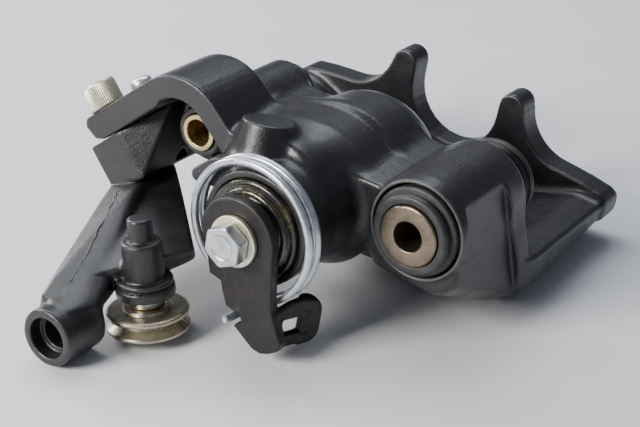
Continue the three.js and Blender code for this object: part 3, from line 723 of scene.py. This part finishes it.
def lever_bolt():
    """Hexagon head with its front corners turned off and a shallow dish in its face."""
    seat = BOLT_SEAT
    front = seat - 6  # ahead of the head, so that the turned shapes pass through its face
    grid = Grid((-8.5, seat - 6.5, -17.5), (8.5, seat + 1, -0.5), BOLT_CELL)
    corners = []
    for i in range(6):
        angle = i * math.pi / 3
        corners.append((7.5 * math.sin(angle), PISTON_Z + 7.5 * math.cos(angle)))
    head = grid.plate(corners, seat - 5.3, seat, 0.35)
    turned_off = [(0, front), (5.9, front), (8.4, seat - 4.1), (8.4, seat + 2), (0, seat + 2)]
    dish = [(0, front), (4.6, front), (4.2, seat - 5.05), (0, seat - 5.05)]
    field = np.maximum(head, grid.lathe(turned_off, z=PISTON_Z))
    field = cut(field, grid.lathe(dish, z=PISTON_Z), 0.2)
    return skinned("bolt_head", grid, field, body="lever", replaces="lever_bolt", slot="zinc")


bolt = lever_bolt()
HUB = Matrix.Translation((0, 0, PISTON_Z))
MAIN_GUIDE = Matrix.Translation((GUIDE_X, 0, 0))
SECOND_GUIDE = Matrix.Translation((-GUIDE_X, 0, 0))


def rounded(corners, steps=3):
    """A profile from (r, y, radius of that corner's rounding) corners."""
    made = []
    for i, (r, y, size) in enumerate(corners):
        here = Vector((r, y))
        if size == 0:
            made.append((r, y))
            continue
        before = Vector(corners[i - 1][:2]) - here
        after = Vector(corners[(i + 1) % len(corners)][:2]) - here
        half = before.angle(after) / 2
        reach = min(size / math.tan(half), before.length / 2, after.length / 2)
        a, b = here + before.normalized() * reach, here + after.normalized() * reach
        for k in range(steps + 1):
            t = k / steps
            point = a * (1 - t) ** 2 + here * 2 * t * (1 - t) + b * t**2
            made.append((point.x, point.y))
    return made


def ring(name, corners, place, **how):
    return turned(name, rounded(corners), place, **how)


WASHER_BACK = LEVER_FRONT - 0.2
WASHER_FRONT = WASHER_BACK - 1.8
washer = ring(
    "bolt_washer",
    [
        (4.3, WASHER_BACK, 0), (9, WASHER_BACK, 0.3),
        (9, WASHER_FRONT, 0.4), (4.3, WASHER_FRONT, 0.2),
    ],
    HUB, body="lever", replaces="lever_washer", slot="yellow_zinc",
)
shank = ring(
    "bolt_shank",
    [(0, BOLT_SEAT, 0), (4, BOLT_SEAT, 0), (4, -28.2, 0.3), (0, -28.2, 0)],
    HUB, body="lever", slot="zinc",
)

# The crisp rim of the neck round the shaft seal is a piece of its own.
neck_rim = ring(
    "neck_rim",
    [(17.9, -17.5, 0), (20.1, -17.5, 0), (20.3, -22.3, 0.7), (18.1, -22.3, 0.4)],
    HUB, slot="black_casting",
)
seal = turned(
    "greased_seal",
    [
        (9.3, -19), (9.3, -24.4), *arc((10.4, -24.5), 1, 180, 300, 5),
        (12.2, -24.4), *arc((13.9, -24.6), 1.3, 200, 340, 6),
        (15.6, -23.9), *arc((16.7, -23.1), 0.9, 230, 380, 5), (17.8, -22), (17.8, -19),
    ],
    HUB, replaces="shaft_seal", slot="greased_rubber",
)

# ---- sleeves, boots and lug rims
main_sleeve = ring(
    "main_sleeve",
    [(5.25, 0, 0.5), (MAIN_SLEEVE_R, 0, 0.9), (MAIN_SLEEVE_R, 64, 0.5), (5.25, 64, 0.5)],
    MAIN_GUIDE, body="main_guide", replaces="main_guide_sleeve", slot="sleeve_steel",
)
second_sleeve = ring(
    "second_sleeve",
    [(4.8, 2.3, 0.4), (SECOND_SLEEVE_R, 2.3, 0.4), (SECOND_SLEEVE_R, 62, 0.4), (4.8, 62, 0.4)],
    SECOND_GUIDE, body="second_guide", replaces="second_guide_sleeve", slot="yellow_zinc",
)
# The main lug's front rim is dressed below in a lighter paint, which is a painted highlight along
# the rim.
main_rim = ring(
    "main_lug_rim",
    [(16.8, 9, 0), (17.8, 9, 0), (17.75, 5.5, 0.4), (16.85, 5.5, 0.3)],
    MAIN_GUIDE, slot="black_casting",
)
main_boot = ring(
    "main_boot",
    [
        (11.05, 11.8, 0), (11.05, 1, 0.5), (13.9, 0.7, 1.3), (14.1, 3.6, 1.2),
        (13, 4.4, 0.4), (15.7, 4.7, 1), (15.9, 7, 0.6), (15.2, 7.4, 0.2),
        (15.2, 8.6, 0.2), (15.5, 8.6, 0), (15.5, 11.8, 0),
    ],
    MAIN_GUIDE, replaces="main_boot_front", slot="rubber",
)
second_boot = ring(
    "second_boot",
    [
        (6.95, 13.8, 0), (6.95, 3.3, 0.4), (9, 3.3, 0.8), (9, 5.6, 0.6),
        (8, 6.6, 0.3), (8.1, 7.4, 0.3), (9.4, 8.2, 0.3), (9.5, 13.8, 0),
    ],
    SECOND_GUIDE, replaces="second_boot_front", slot="rubber",
)


def bellows(name, inner, outer, seat, front, back, folds, place, **how):
    """A boot behind a lug: a seat in the lug, then folds, then a thick end lip."""
    profile = [(inner, front), (seat, front), (seat, front + 6.4)]
    start, end = front + 6.8, back - 3.2
    for i in range(folds * 8 + 1):
        share = i / (folds * 8)
        wave = 0.5 - 0.5 * math.cos(2 * math.pi * folds * share)
        radius = seat - 1.1 + (outer - 0.4 - seat + 1.1) * wave
        profile.append((radius, start + (end - start) * share))
    lip = rounded([(outer - 0.5, back - 2.8, 0.5), (outer, back, 0.9), (inner, back, 0.5)])
    profile += lip[:-1] + [(inner, back)]
    return turned(name, profile, place, **how)


rear_boot = bellows(
    "main_bellows", 11.1, 15.4, 13.3, 42.3, 61, 3, MAIN_GUIDE,
    replaces="main_boot_rear", slot="rubber",
)
second_rear_boot = bellows(
    "second_bellows", 7, 10, 9.5, 50.3, 61, 1, SECOND_GUIDE,
    replaces="second_boot_rear", slot="rubber",
)

# ---- pulley and its pin
pulley = ring(
    "pulley_wheel",
    [
        (6.3, 0.4, 0.2), (8.2, 0.4, 0.3), (8.4, -0.6, 0.4), (13.6, -0.5, 0.5),
        (14.5, -1, 0.4), (14.4, -2.2, 0.5), (10.6, -4, 0.8), (10.6, -4.7, 0.8),
        (14.4, -6.5, 0.5), (14.5, -7.6, 0.4), (13.6, -8, 0.4), (9, -7.6, 0.4),
        (6.3, -8, 0.2),
    ],
    PULLEY, body="pulley", replaces="cable_pulley", slot="sleeve_steel",
)
bush = ring(
    "bush",
    [(4.3, 0.4, 0.2), (6.1, 0.4, 0.2), (6.1, -8, 0.2), (4.3, -8, 0.2)],
    PULLEY, body="pulley", replaces="pulley_bush", slot="bronze",
)
pin = ring(
    "pin",
    [
        (0, -9.3, 0), (4, -9.3, 0.8), (4, 0.8, 0), (6, 0.8, 0.4),
        (6, 4.2, 0.3), (4, 4.2, 0), (4, 23, 0.4), (0, 23, 0),
    ],
    PULLEY, replaces="pulley_pin", slot="bright_steel",
)
pin_clip = turned(
    "pin_clip",
    [(3.7, -8.9), *arc((4.6, -8.5), 0.42, 270, 450, 6), (3.7, -8.1)],
    PULLEY, slot="bright_steel",
)

# ---- screws
CAP = aim(CAP_SEAT, leg_normal)
DOME = aim(DOME_SEAT, leg_normal)
BLEED = aim((0, BLEED_Y, PISTON_Z), hose_direction)
KNURLS = 54


def hexed(across, *rows):
    """A radius_at that makes those rows of a profile a hexagon of that size across flats."""

    def shape(row, angle, radius):
        if row in rows:
            return across / 2 / math.cos((angle % (math.pi / 3)) - math.pi / 6)
        return radius

    return shape


cap_profile = [
    (0, -23), (2.6, -23), (3, -22.5), (3, 0.3), (6.1, 0.3), (6.5, 0.7),
    (6.6, 0.95), (6.6, 8.4),
    (6.5, 8.8), (6.2, 9.4), (5.6, 9.7), (4.1, 9.7),
    (3.6, 9.4), (3.4, 4.8), (0, 4.2),
]
KNURL_ROWS = (6, 7)
cap_socket = hexed(6, 12, 13)


def cap_shape(row, angle, radius):
    if row in KNURL_ROWS:
        return radius + 0.11 * (abs(((angle * KNURLS / math.tau) % 1) - 0.5) * 4 - 1)
    return cap_socket(row, angle, radius)


cap_screw = turned(
    "cap_screw", cap_profile, CAP, sides=KNURLS * 8, radius_at=cap_shape,
    replaces="bracket_cap_screw", slot="yellow_zinc", sharp=28,
)
dome_screw = turned(
    "dome_screw",
    [
        (0, -23), (3, -23), (3, 0.3), (4.4, 0.3), (4.6, 0.6), (4.6, 3), (4.4, 3.7), (3.8, 4.4),
        (2.9, 4.9), (2.2, 5.1), (2, 2.6), (0, 2.4),
    ],
    DOME, radius_at=hexed(3.6, 9, 10), replaces="bracket_dome_screw", slot="zinc",
)
bleeder = turned(
    "bleeder",
    [
        (0, 22), (3.5, 22), (3.5, 34.3), (4.4, 34.3), (4.4, 38.3), (3.4, 38.9), (2.9, 39.2),
        (2.9, 44.6), (2.3, 45), (1, 45), (1, 43), (0, 43),
    ],
    BLEED, radius_at=hexed(8.6, 3, 4), replaces="bleed_screw", slot="zinc",
)
bleeder_cap = ring(
    "bleeder_cap",
    [
        (3.1, 39.5, 0.3), (4.9, 39.5, 0.6), (4.7, 42, 0.4), (4.2, 42.6, 0.3), (4.4, 46, 0.8),
        (3.2, 47.5, 1), (0, 47.7, 0), (0, 45.4, 0), (3.1, 45.4, 0),
    ],
    BLEED, replaces="bleed_cap", slot="rubber",
)

# ---- piston
piston_cup = ring(
    "piston_cup",
    [
        (0, 51.5, 0), (13.4, 51.5, 0.6), (13.4, 24, 0.4), (PISTON_R, 24, 0.6),
        (PISTON_R, 52.6, 0.2), (17.2, 53.2, 0.2), (17.2, 54.4, 0.2), (PISTON_R, 55, 0.2),
        (PISTON_R, 57.5, 0.6), (13, 57.5, 0.5), (12.6, 55.8, 0.4), (0, 55.8, 0),
    ],
    HUB, body="brake_piston", replaces="piston", slot="bright_steel",
)
dust_boot = turned(
    "dust_boot",
    [
        (18.2, 51.4), (21.7, 51.4), (21.7, 54.6),
        *arc((20.9, 55.2), 1, 0, 120, 5),
        (19.9, 54.6), (19.5, 53.9), (19.1, 54.7),
        *arc((18.9, 55.4), 0.6, 60, 170, 4),
        (18.2, 54.9),
    ],
    HUB, replaces="piston_boot", slot="rubber",
)

# ---- springs
def return_spring():
    """Wire whose end passes forward through the lever's notch, then winds round the neck."""
    start = math.radians(-53)
    front_y = -26.2
    pitch = 4.6
    straight = 13.2  # length of wire between the notch and the coil

    def coil(travelled):
        """A place on the wire, by its distance along the wire from where the coil starts."""
        angle = start + max(travelled, 0) / SPRING_R
        before = min(travelled, 0)
        rise = max(travelled, 0) / (2 * math.pi * SPRING_R) * pitch
        return Vector(
            (
                SPRING_R * math.cos(angle) - before * math.sin(angle),
                front_y + rise,
                PISTON_Z + SPRING_R * math.sin(angle) + before * math.cos(angle),
            )
        )

    length = SPRING_TURNS * 2 * math.pi * SPRING_R
    notch = coil(-straight + 1)
    steps = ((-2.2, -9.4, -1.9), (-1.6, -6.4, -1.6), (-0.9, -3.2, -1.2), (-0.2, -0.9, -0.4))
    tip = [notch + Vector(step) for step in steps]
    path = smooth_path(tip + [coil(-straight + 2.6), coil(-straight + 5), coil(-4)], 5)
    path += [coil(length * i / 150) for i in range(151)]
    return swept(
        "spring_wire", path, SPRING_WIRE_R, sides=18, body=None,
        replaces="return_spring", slot="zinc",
    )


spring = return_spring()
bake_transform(spring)


def inner_spring():
    """Coil round the pushrod."""
    radius, low, high, steps = 10.1, 15, 26.8, 3 * 24
    path = []
    for i in range(steps + 1):
        angle = i * math.pi / 12
        y = low + (high - low) * i / steps
        path.append((radius * math.cos(angle), y, PISTON_Z + radius * math.sin(angle)))
    return swept(
        "inner_spring_wire", path, 0.9, sides=10, replaces="pushrod_spring", slot="bright_steel"
    )


coil_spring = inner_spring()
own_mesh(coil_spring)


# ---- materials
class Look:
    """A Principled material built node by node; places in its patterns are in millimetres."""

    def __init__(self, name, metallic, specular=0.5, coat=0.0, coat_roughness=0.2):
        self.material = bpy.data.materials.new(name)
        self.material.use_nodes = True
        self.shader = self.material.node_tree.nodes["Principled BSDF"]
        self.set("Metallic", metallic)
        self.set("Specular IOR Level", specular)
        self.set("Coat Weight", coat)
        self.set("Coat Roughness", coat_roughness)
        position = self.node("TexCoord").outputs["Object"]
        self.place = self.node("Mapping", Scale=[1 / MM] * 3, Vector=position).outputs["Vector"]
        self.normal = None

    def node(self, kind, **inputs):
        """A new node with some of its inputs given or linked."""
        made = self.material.node_tree.nodes.new("ShaderNode" + kind)
        for name, value in inputs.items():
            self.put(made.inputs[name], value)
        return made

    def put(self, socket, value):
        """Link a socket, give a colour as a tuple, or give a number or a list of numbers."""
        if isinstance(value, bpy.types.NodeSocket):
            self.material.node_tree.links.new(value, socket)
        elif isinstance(value, tuple):
            socket.default_value = (*value, 1)
        else:
            socket.default_value = value

    def set(self, name, value):
        self.put(self.shader.inputs[name], value)

    def noise(self, size, detail=3.0, roughness=0.55, distortion=0.0, squeeze=None):
        """Cloudy pattern with features of about that many mm."""
        place = self.place
        if squeeze:
            place = self.node("Mapping", Scale=squeeze, Vector=place).outputs["Vector"]
        made = self.node("TexNoise", Scale=1 / size, Detail=detail, Vector=place)
        self.put(made.inputs["Roughness"], roughness)
        self.put(made.inputs["Distortion"], distortion)
        return made.outputs["Fac"]

    def cells(self, size):
        """Distance from scattered points about that many mm apart."""
        return self.node("TexVoronoi", Scale=1 / size, Vector=self.place).outputs["Distance"]

    def rings(self, centre, axis, size):
        """Turning marks round an axis of the row frame, X, Y or Z, through a point."""
        shift = [-c / MM for c in centre]
        place = self.node("Mapping", Location=shift, Vector=self.place).outputs["Vector"]
        made = self.node("TexWave", Scale=1 / size, Distortion=0.6, Detail=1.0, Vector=place)
        made.wave_type = "RINGS"
        made.rings_direction = axis
        return made.outputs["Fac"]

    def edges(self):
        """How convex the surface is."""
        return self.node("NewGeometry").outputs["Pointiness"]

    def ramp(self, value, *stops):
        """Colours or greys at places along a value."""
        made = self.node("ValToRGB", Fac=value)
        track = made.color_ramp
        while len(track.elements) < len(stops):
            track.elements.new(0.5)
        for element, (place, colour) in zip(track.elements, stops):
            element.position = place
            grey = isinstance(colour, (int, float))
            element.color = (colour,) * 3 + (1,) if grey else (*colour, 1)
        return made.outputs["Color"]

    def times(self, a, b):
        made = self.node("Math")
        made.operation = "MULTIPLY"
        self.put(made.inputs[0], a)
        self.put(made.inputs[1], b)
        return made.outputs["Value"]

    def mix(self, share, under, over):
        """One colour over another where a share is high."""
        made = self.node("Mix")
        made.data_type = "RGBA"  # the colour sockets are found by name only after this
        for name, value in (("Factor", share), ("A", under), ("B", over)):
            self.put(made.inputs[name], value)
        return made.outputs["Result"]

    def bump(self, height, depth, strength=1.0):
        """Relief of about that many mm, over any relief already there."""
        made = self.node("Bump", Strength=strength, Distance=depth * MM, Height=height)
        if self.normal is not None:
            self.put(made.inputs["Normal"], self.normal)
        self.normal = made.outputs["Normal"]
        self.set("Normal", self.normal)

    def finish(self, colour, roughness):
        self.set("Base Color", colour)
        self.set("Roughness", roughness)
        return self.material


def cast_paint(name, low, high):
    """Black semi-gloss paint on sand-cast iron: grain, soft dents, dust, and edges lightened
    partly as rubbed wear and partly as a painted highlight.
    """
    look = Look(name, metallic=0.0, specular=0.5, coat=0.25, coat_roughness=0.22)
    tone = look.ramp(look.noise(26, 4), (0.35, low), (0.65, high))
    # Convex edges are lighter: this is partly rubbed wear and partly a painted highlight along the
    # edges.
    rubbed = look.ramp(look.edges(), (0.515, 0.0), (0.60, 1.0))
    patchy = look.ramp(look.noise(5, 5, 0.7), (0.42, 0.0), (0.62, 1.0))
    tone = look.mix(look.times(look.times(rubbed, patchy), 0.6), tone, (0.10, 0.095, 0.095))
    film = look.ramp(look.noise(9, 6, 0.68), (0.50, 0.0), (0.75, 1.0))
    tone = look.mix(look.times(film, 0.3), tone, (0.038, 0.035, 0.034))
    fleck = look.ramp(look.cells(2.6), (0.035, 1.0), (0.07, 0.0))
    sparse = look.ramp(look.noise(7, 2), (0.56, 0.0), (0.63, 1.0))
    tone = look.mix(look.times(fleck, sparse), tone, (0.42, 0.42, 0.44))
    gloss = look.ramp(look.noise(6, 5, 0.6), (0.3, 0.31), (0.7, 0.46))
    look.bump(look.noise(22, 2), 1.4, 0.4)
    look.bump(look.noise(3.0, 3, 0.6), 0.30, 0.4)
    look.bump(look.noise(0.8, 4, 0.65), 0.22, 0.75)
    return look.finish(tone, gloss)


def phosphate():
    """Dark phosphated steel plate with a brown cast, rubbed lighter along its edges."""
    look = Look("phosphate", metallic=0.35)
    tone = look.ramp(
        look.noise(6, 5, 0.65), (0.3, (0.011, 0.010, 0.011)), (0.7, (0.024, 0.020, 0.020))
    )
    rubbed = look.ramp(look.edges(), (0.52, 0.0), (0.62, 1.0))
    tone = look.mix(look.times(rubbed, 0.6), tone, (0.16, 0.14, 0.12))
    scratch = look.ramp(look.noise(3, 3, 0.7, squeeze=[6, 1, 0.5]), (0.63, 0.0), (0.69, 1.0))
    tone = look.mix(look.times(scratch, 0.22), tone, (0.16, 0.145, 0.125))
    gloss = look.ramp(look.noise(2.5, 5, 0.7), (0.3, 0.34), (0.7, 0.55))
    look.bump(look.noise(1.1, 5, 0.65), 0.09, 0.5)
    return look.finish(tone, gloss)


def plated(name, light, dark, stain, gloss=(0.26, 0.44)):
    """Zinc plating, cloudy and a little stained, with fine grain."""
    look = Look(name, metallic=0.92)
    tone = look.ramp(look.noise(3.2, 5, 0.6), (0.32, dark), (0.62, light))
    spot = look.ramp(look.noise(1.6, 4, 0.7), (0.56, 0.0), (0.72, 1.0))
    tone = look.mix(look.times(spot, 0.5), tone, stain)
    look.bump(look.noise(0.5, 4, 0.6), 0.03, 0.6)
    return look.finish(tone, look.ramp(look.noise(1.8, 4), (0.3, gloss[0]), (0.7, gloss[1])))


def turned_steel(name, light, dark, centre, axis, gloss=(0.24, 0.4)):
    """Machined steel with turning marks round its own axis and a thin brown film."""
    look = Look(name, metallic=0.95)
    tone = look.ramp(look.noise(4, 5, 0.6), (0.3, dark), (0.66, light))
    spot = look.ramp(look.noise(1.4, 4, 0.7), (0.60, 0.0), (0.74, 1.0))
    tone = look.mix(look.times(spot, 0.5), tone, (0.06, 0.045, 0.03))
    look.bump(look.rings(centre, axis, 0.55), 0.02, 0.35)
    look.bump(look.noise(0.4, 3), 0.02, 0.4)
    return look.finish(tone, look.ramp(look.noise(2.4, 4), (0.3, gloss[0]), (0.7, gloss[1])))


def rubber():
    """Matt black rubber with a grey bloom and fine pores."""
    look = Look("rubber", metallic=0.0, specular=0.5)
    tone = look.ramp(
        look.noise(5, 5, 0.6), (0.34, (0.014, 0.014, 0.016)), (0.7, (0.040, 0.041, 0.043))
    )
    dust = look.ramp(look.noise(1.0, 4, 0.75), (0.64, 0.0), (0.76, 1.0))
    tone = look.mix(look.times(dust, 0.45), tone, (0.22, 0.22, 0.21))
    look.bump(look.noise(0.7, 5, 0.65), 0.05, 0.6)
    return look.finish(tone, look.ramp(look.noise(2, 4), (0.3, 0.42), (0.7, 0.62)))


def greased():
    """Black rubber under smeared yellow-brown grease."""
    look = Look("greased", metallic=0.0, specular=0.5, coat=0.8, coat_roughness=0.14)
    smear = look.noise(5.5, 3, 0.5, distortion=0.8)
    tone = look.ramp(
        smear,
        (0.44, (0.006, 0.005, 0.004)),
        (0.56, (0.022, 0.018, 0.008)),
        (0.70, (0.075, 0.064, 0.026)),
    )
    look.bump(smear, 0.5, 0.5)
    look.bump(look.noise(1.6, 3, 0.5), 0.08, 0.4)
    return look.finish(tone, look.ramp(smear, (0.35, 0.5), (0.6, 0.2)))


def dress(pieces, material):
    for piece in pieces:
        piece.data.materials.clear()
        piece.data.materials.append(material)


main_axis = CALIPER @ Vector((GUIDE_X, 0, 0))
second_axis = CALIPER @ Vector((-GUIDE_X, 0, 0))
hub_axis = CALIPER @ Vector((0, 0, PISTON_Z))
pulley_centre = CALIPER @ Vector(PULLEY_TOP)

dress(
    [body, bracket, flash, neck_rim],
    cast_paint("cast_paint", (0.0055, 0.0053, 0.0072), (0.011, 0.0105, 0.0135)),
)
# A lighter copy of the black paint on the main lug's front rim: a painted highlight along the rim.
dress([main_rim], cast_paint("rim_highlight_paint", (0.05, 0.052, 0.046), (0.11, 0.115, 0.10)))
dress([lever], phosphate())
# Pieces, then the name, light and dark tones and stain of their plating.
for pieces, *look in (
    ([spring], "spring_zinc", (0.66, 0.69, 0.74), (0.46, 0.49, 0.54), (0.24, 0.25, 0.26)),
    ([bolt, shank], "bolt_zinc", (0.62, 0.65, 0.69), (0.42, 0.43, 0.44), (0.46, 0.40, 0.24)),
    (
        [dome_screw, bleeder],
        "screw_zinc", (0.84, 0.85, 0.84), (0.62, 0.63, 0.62), (0.40, 0.38, 0.32),
    ),
    (
        [washer, cap_screw],
        "straw_zinc", (0.80, 0.78, 0.62), (0.66, 0.63, 0.46), (0.40, 0.35, 0.20), (0.34, 0.5),
    ),
):
    dress(pieces, plated(*look))
# Pieces, then the name, light and dark tones, centre and axis of their turned steel.
for pieces, *look in (
    ([main_sleeve], "sleeve_steel", (0.25, 0.20, 0.15), (0.16, 0.13, 0.095), main_axis, "Y"),
    (
        [second_sleeve],
        "gold_steel", (0.72, 0.58, 0.32), (0.42, 0.31, 0.14), second_axis, "Y", (0.16, 0.3),
    ),
    ([pulley], "pulley_steel", (0.52, 0.48, 0.37), (0.33, 0.295, 0.22), pulley_centre, "Z"),
    ([bush], "bronze", (0.50, 0.34, 0.13), (0.30, 0.19, 0.07), pulley_centre, "Z"),
    ([pin, pin_clip], "pin_steel", (0.62, 0.60, 0.55), (0.42, 0.40, 0.36), pulley_centre, "Z"),
):
    dress(pieces, turned_steel(*look))
dress([main_boot, second_boot, rear_boot, second_rear_boot, dust_boot, bleeder_cap], rubber())
dress([seal], greased())
nodes = frame["nodes"]  # the CAD solids that stay, most of them hidden inside
INSIDE = [
    "lever_shaft", "cam_plate", "pushrod", "adjuster_nut", "spring_cage", "cage_circlip",
    "ramp_ball_1", "ramp_ball_2", "ramp_ball_3",
]
bright = turned_steel("bright_steel", (0.62, 0.61, 0.58), (0.44, 0.43, 0.41), hub_axis, "Y")
dress([nodes[name] for name in INSIDE] + [piston_cup, coil_spring], bright)
dress([nodes["piston_seal"]], rubber())

# ---- floor, light and camera
FLOOR_HALF = 6.0  # metres
floor_mesh = bpy.data.meshes.new("floor")
floor_mesh.from_pydata(
    [(x * FLOOR_HALF, y * FLOOR_HALF, 0) for x, y in ((-1, -1), (1, -1), (1, 1), (-1, 1))],
    [],
    [(0, 1, 2, 3)],
)
floor = bpy.data.objects.new("floor", floor_mesh)
bpy.context.scene.collection.objects.link(floor)
paper = Look("floor_paper", metallic=0.0, specular=0.3)
paper_tone = paper.ramp(paper.noise(60, 3), (0.3, (0.72, 0.73, 0.75)), (0.7, (0.75, 0.76, 0.78)))
dress([floor], paper.finish(paper_tone, 0.6))


AIM = Vector((0, 0, 0.03))


def soft_light(name, place, size, power, colour=(1, 1, 1)):
    """A rectangular lamp in metres and watts that points at the object."""
    data = bpy.data.lights.new(name, "AREA")
    data.shape = "RECTANGLE"
    data.size, data.size_y = size
    data.energy = power
    data.color = colour
    made = bpy.data.objects.new(name, data)
    made.location = place
    made.rotation_mode = "QUATERNION"
    made.rotation_quaternion = (AIM - Vector(place)).to_track_quat("-Z", "Y")
    bpy.context.scene.collection.objects.link(made)


soft_light("overhead", (-0.35, 0.45, 1.0), (0.9, 0.7), 9, (0.90, 0.94, 1.0))
soft_light("key", (-0.36, -0.85, 0.55), (0.42, 0.36), 18, (1.0, 0.97, 0.93))
soft_light("side", (-0.95, 0.1, 0.45), (0.4, 0.35), 8)
world = bpy.data.worlds.new("studio")
world.use_nodes = True
sky = world.node_tree.nodes["Background"]
sky.inputs["Color"].default_value = (0.80, 0.86, 1.0, 1)
sky.inputs["Strength"].default_value = 0.22
bpy.context.scene.world = world

CAMERA_PLACE = Vector((241.4, -409.0, 259.0))  # in the caliper frame
CAMERA_RIGHT = Vector((0.813, 0.560, 0.157))
CAMERA_UP = Vector((-0.395, 0.333, 0.856))
lens = bpy.data.cameras.new("camera")
lens.lens = 90
lens.sensor_width = 36
lens.clip_start = 0.01
camera = bpy.data.objects.new("camera", lens)
bpy.context.scene.collection.objects.link(camera)
right = CAMERA_RIGHT.normalized()
back = right.cross(CAMERA_UP).normalized()
facing = Matrix((right, back.cross(right), back)).transposed()
camera.rotation_mode = "QUATERNION"
camera.rotation_quaternion = (TURN.to_3x3() @ facing).to_quaternion()
camera.location = CALIPER @ CAMERA_PLACE
bpy.context.scene.camera = camera
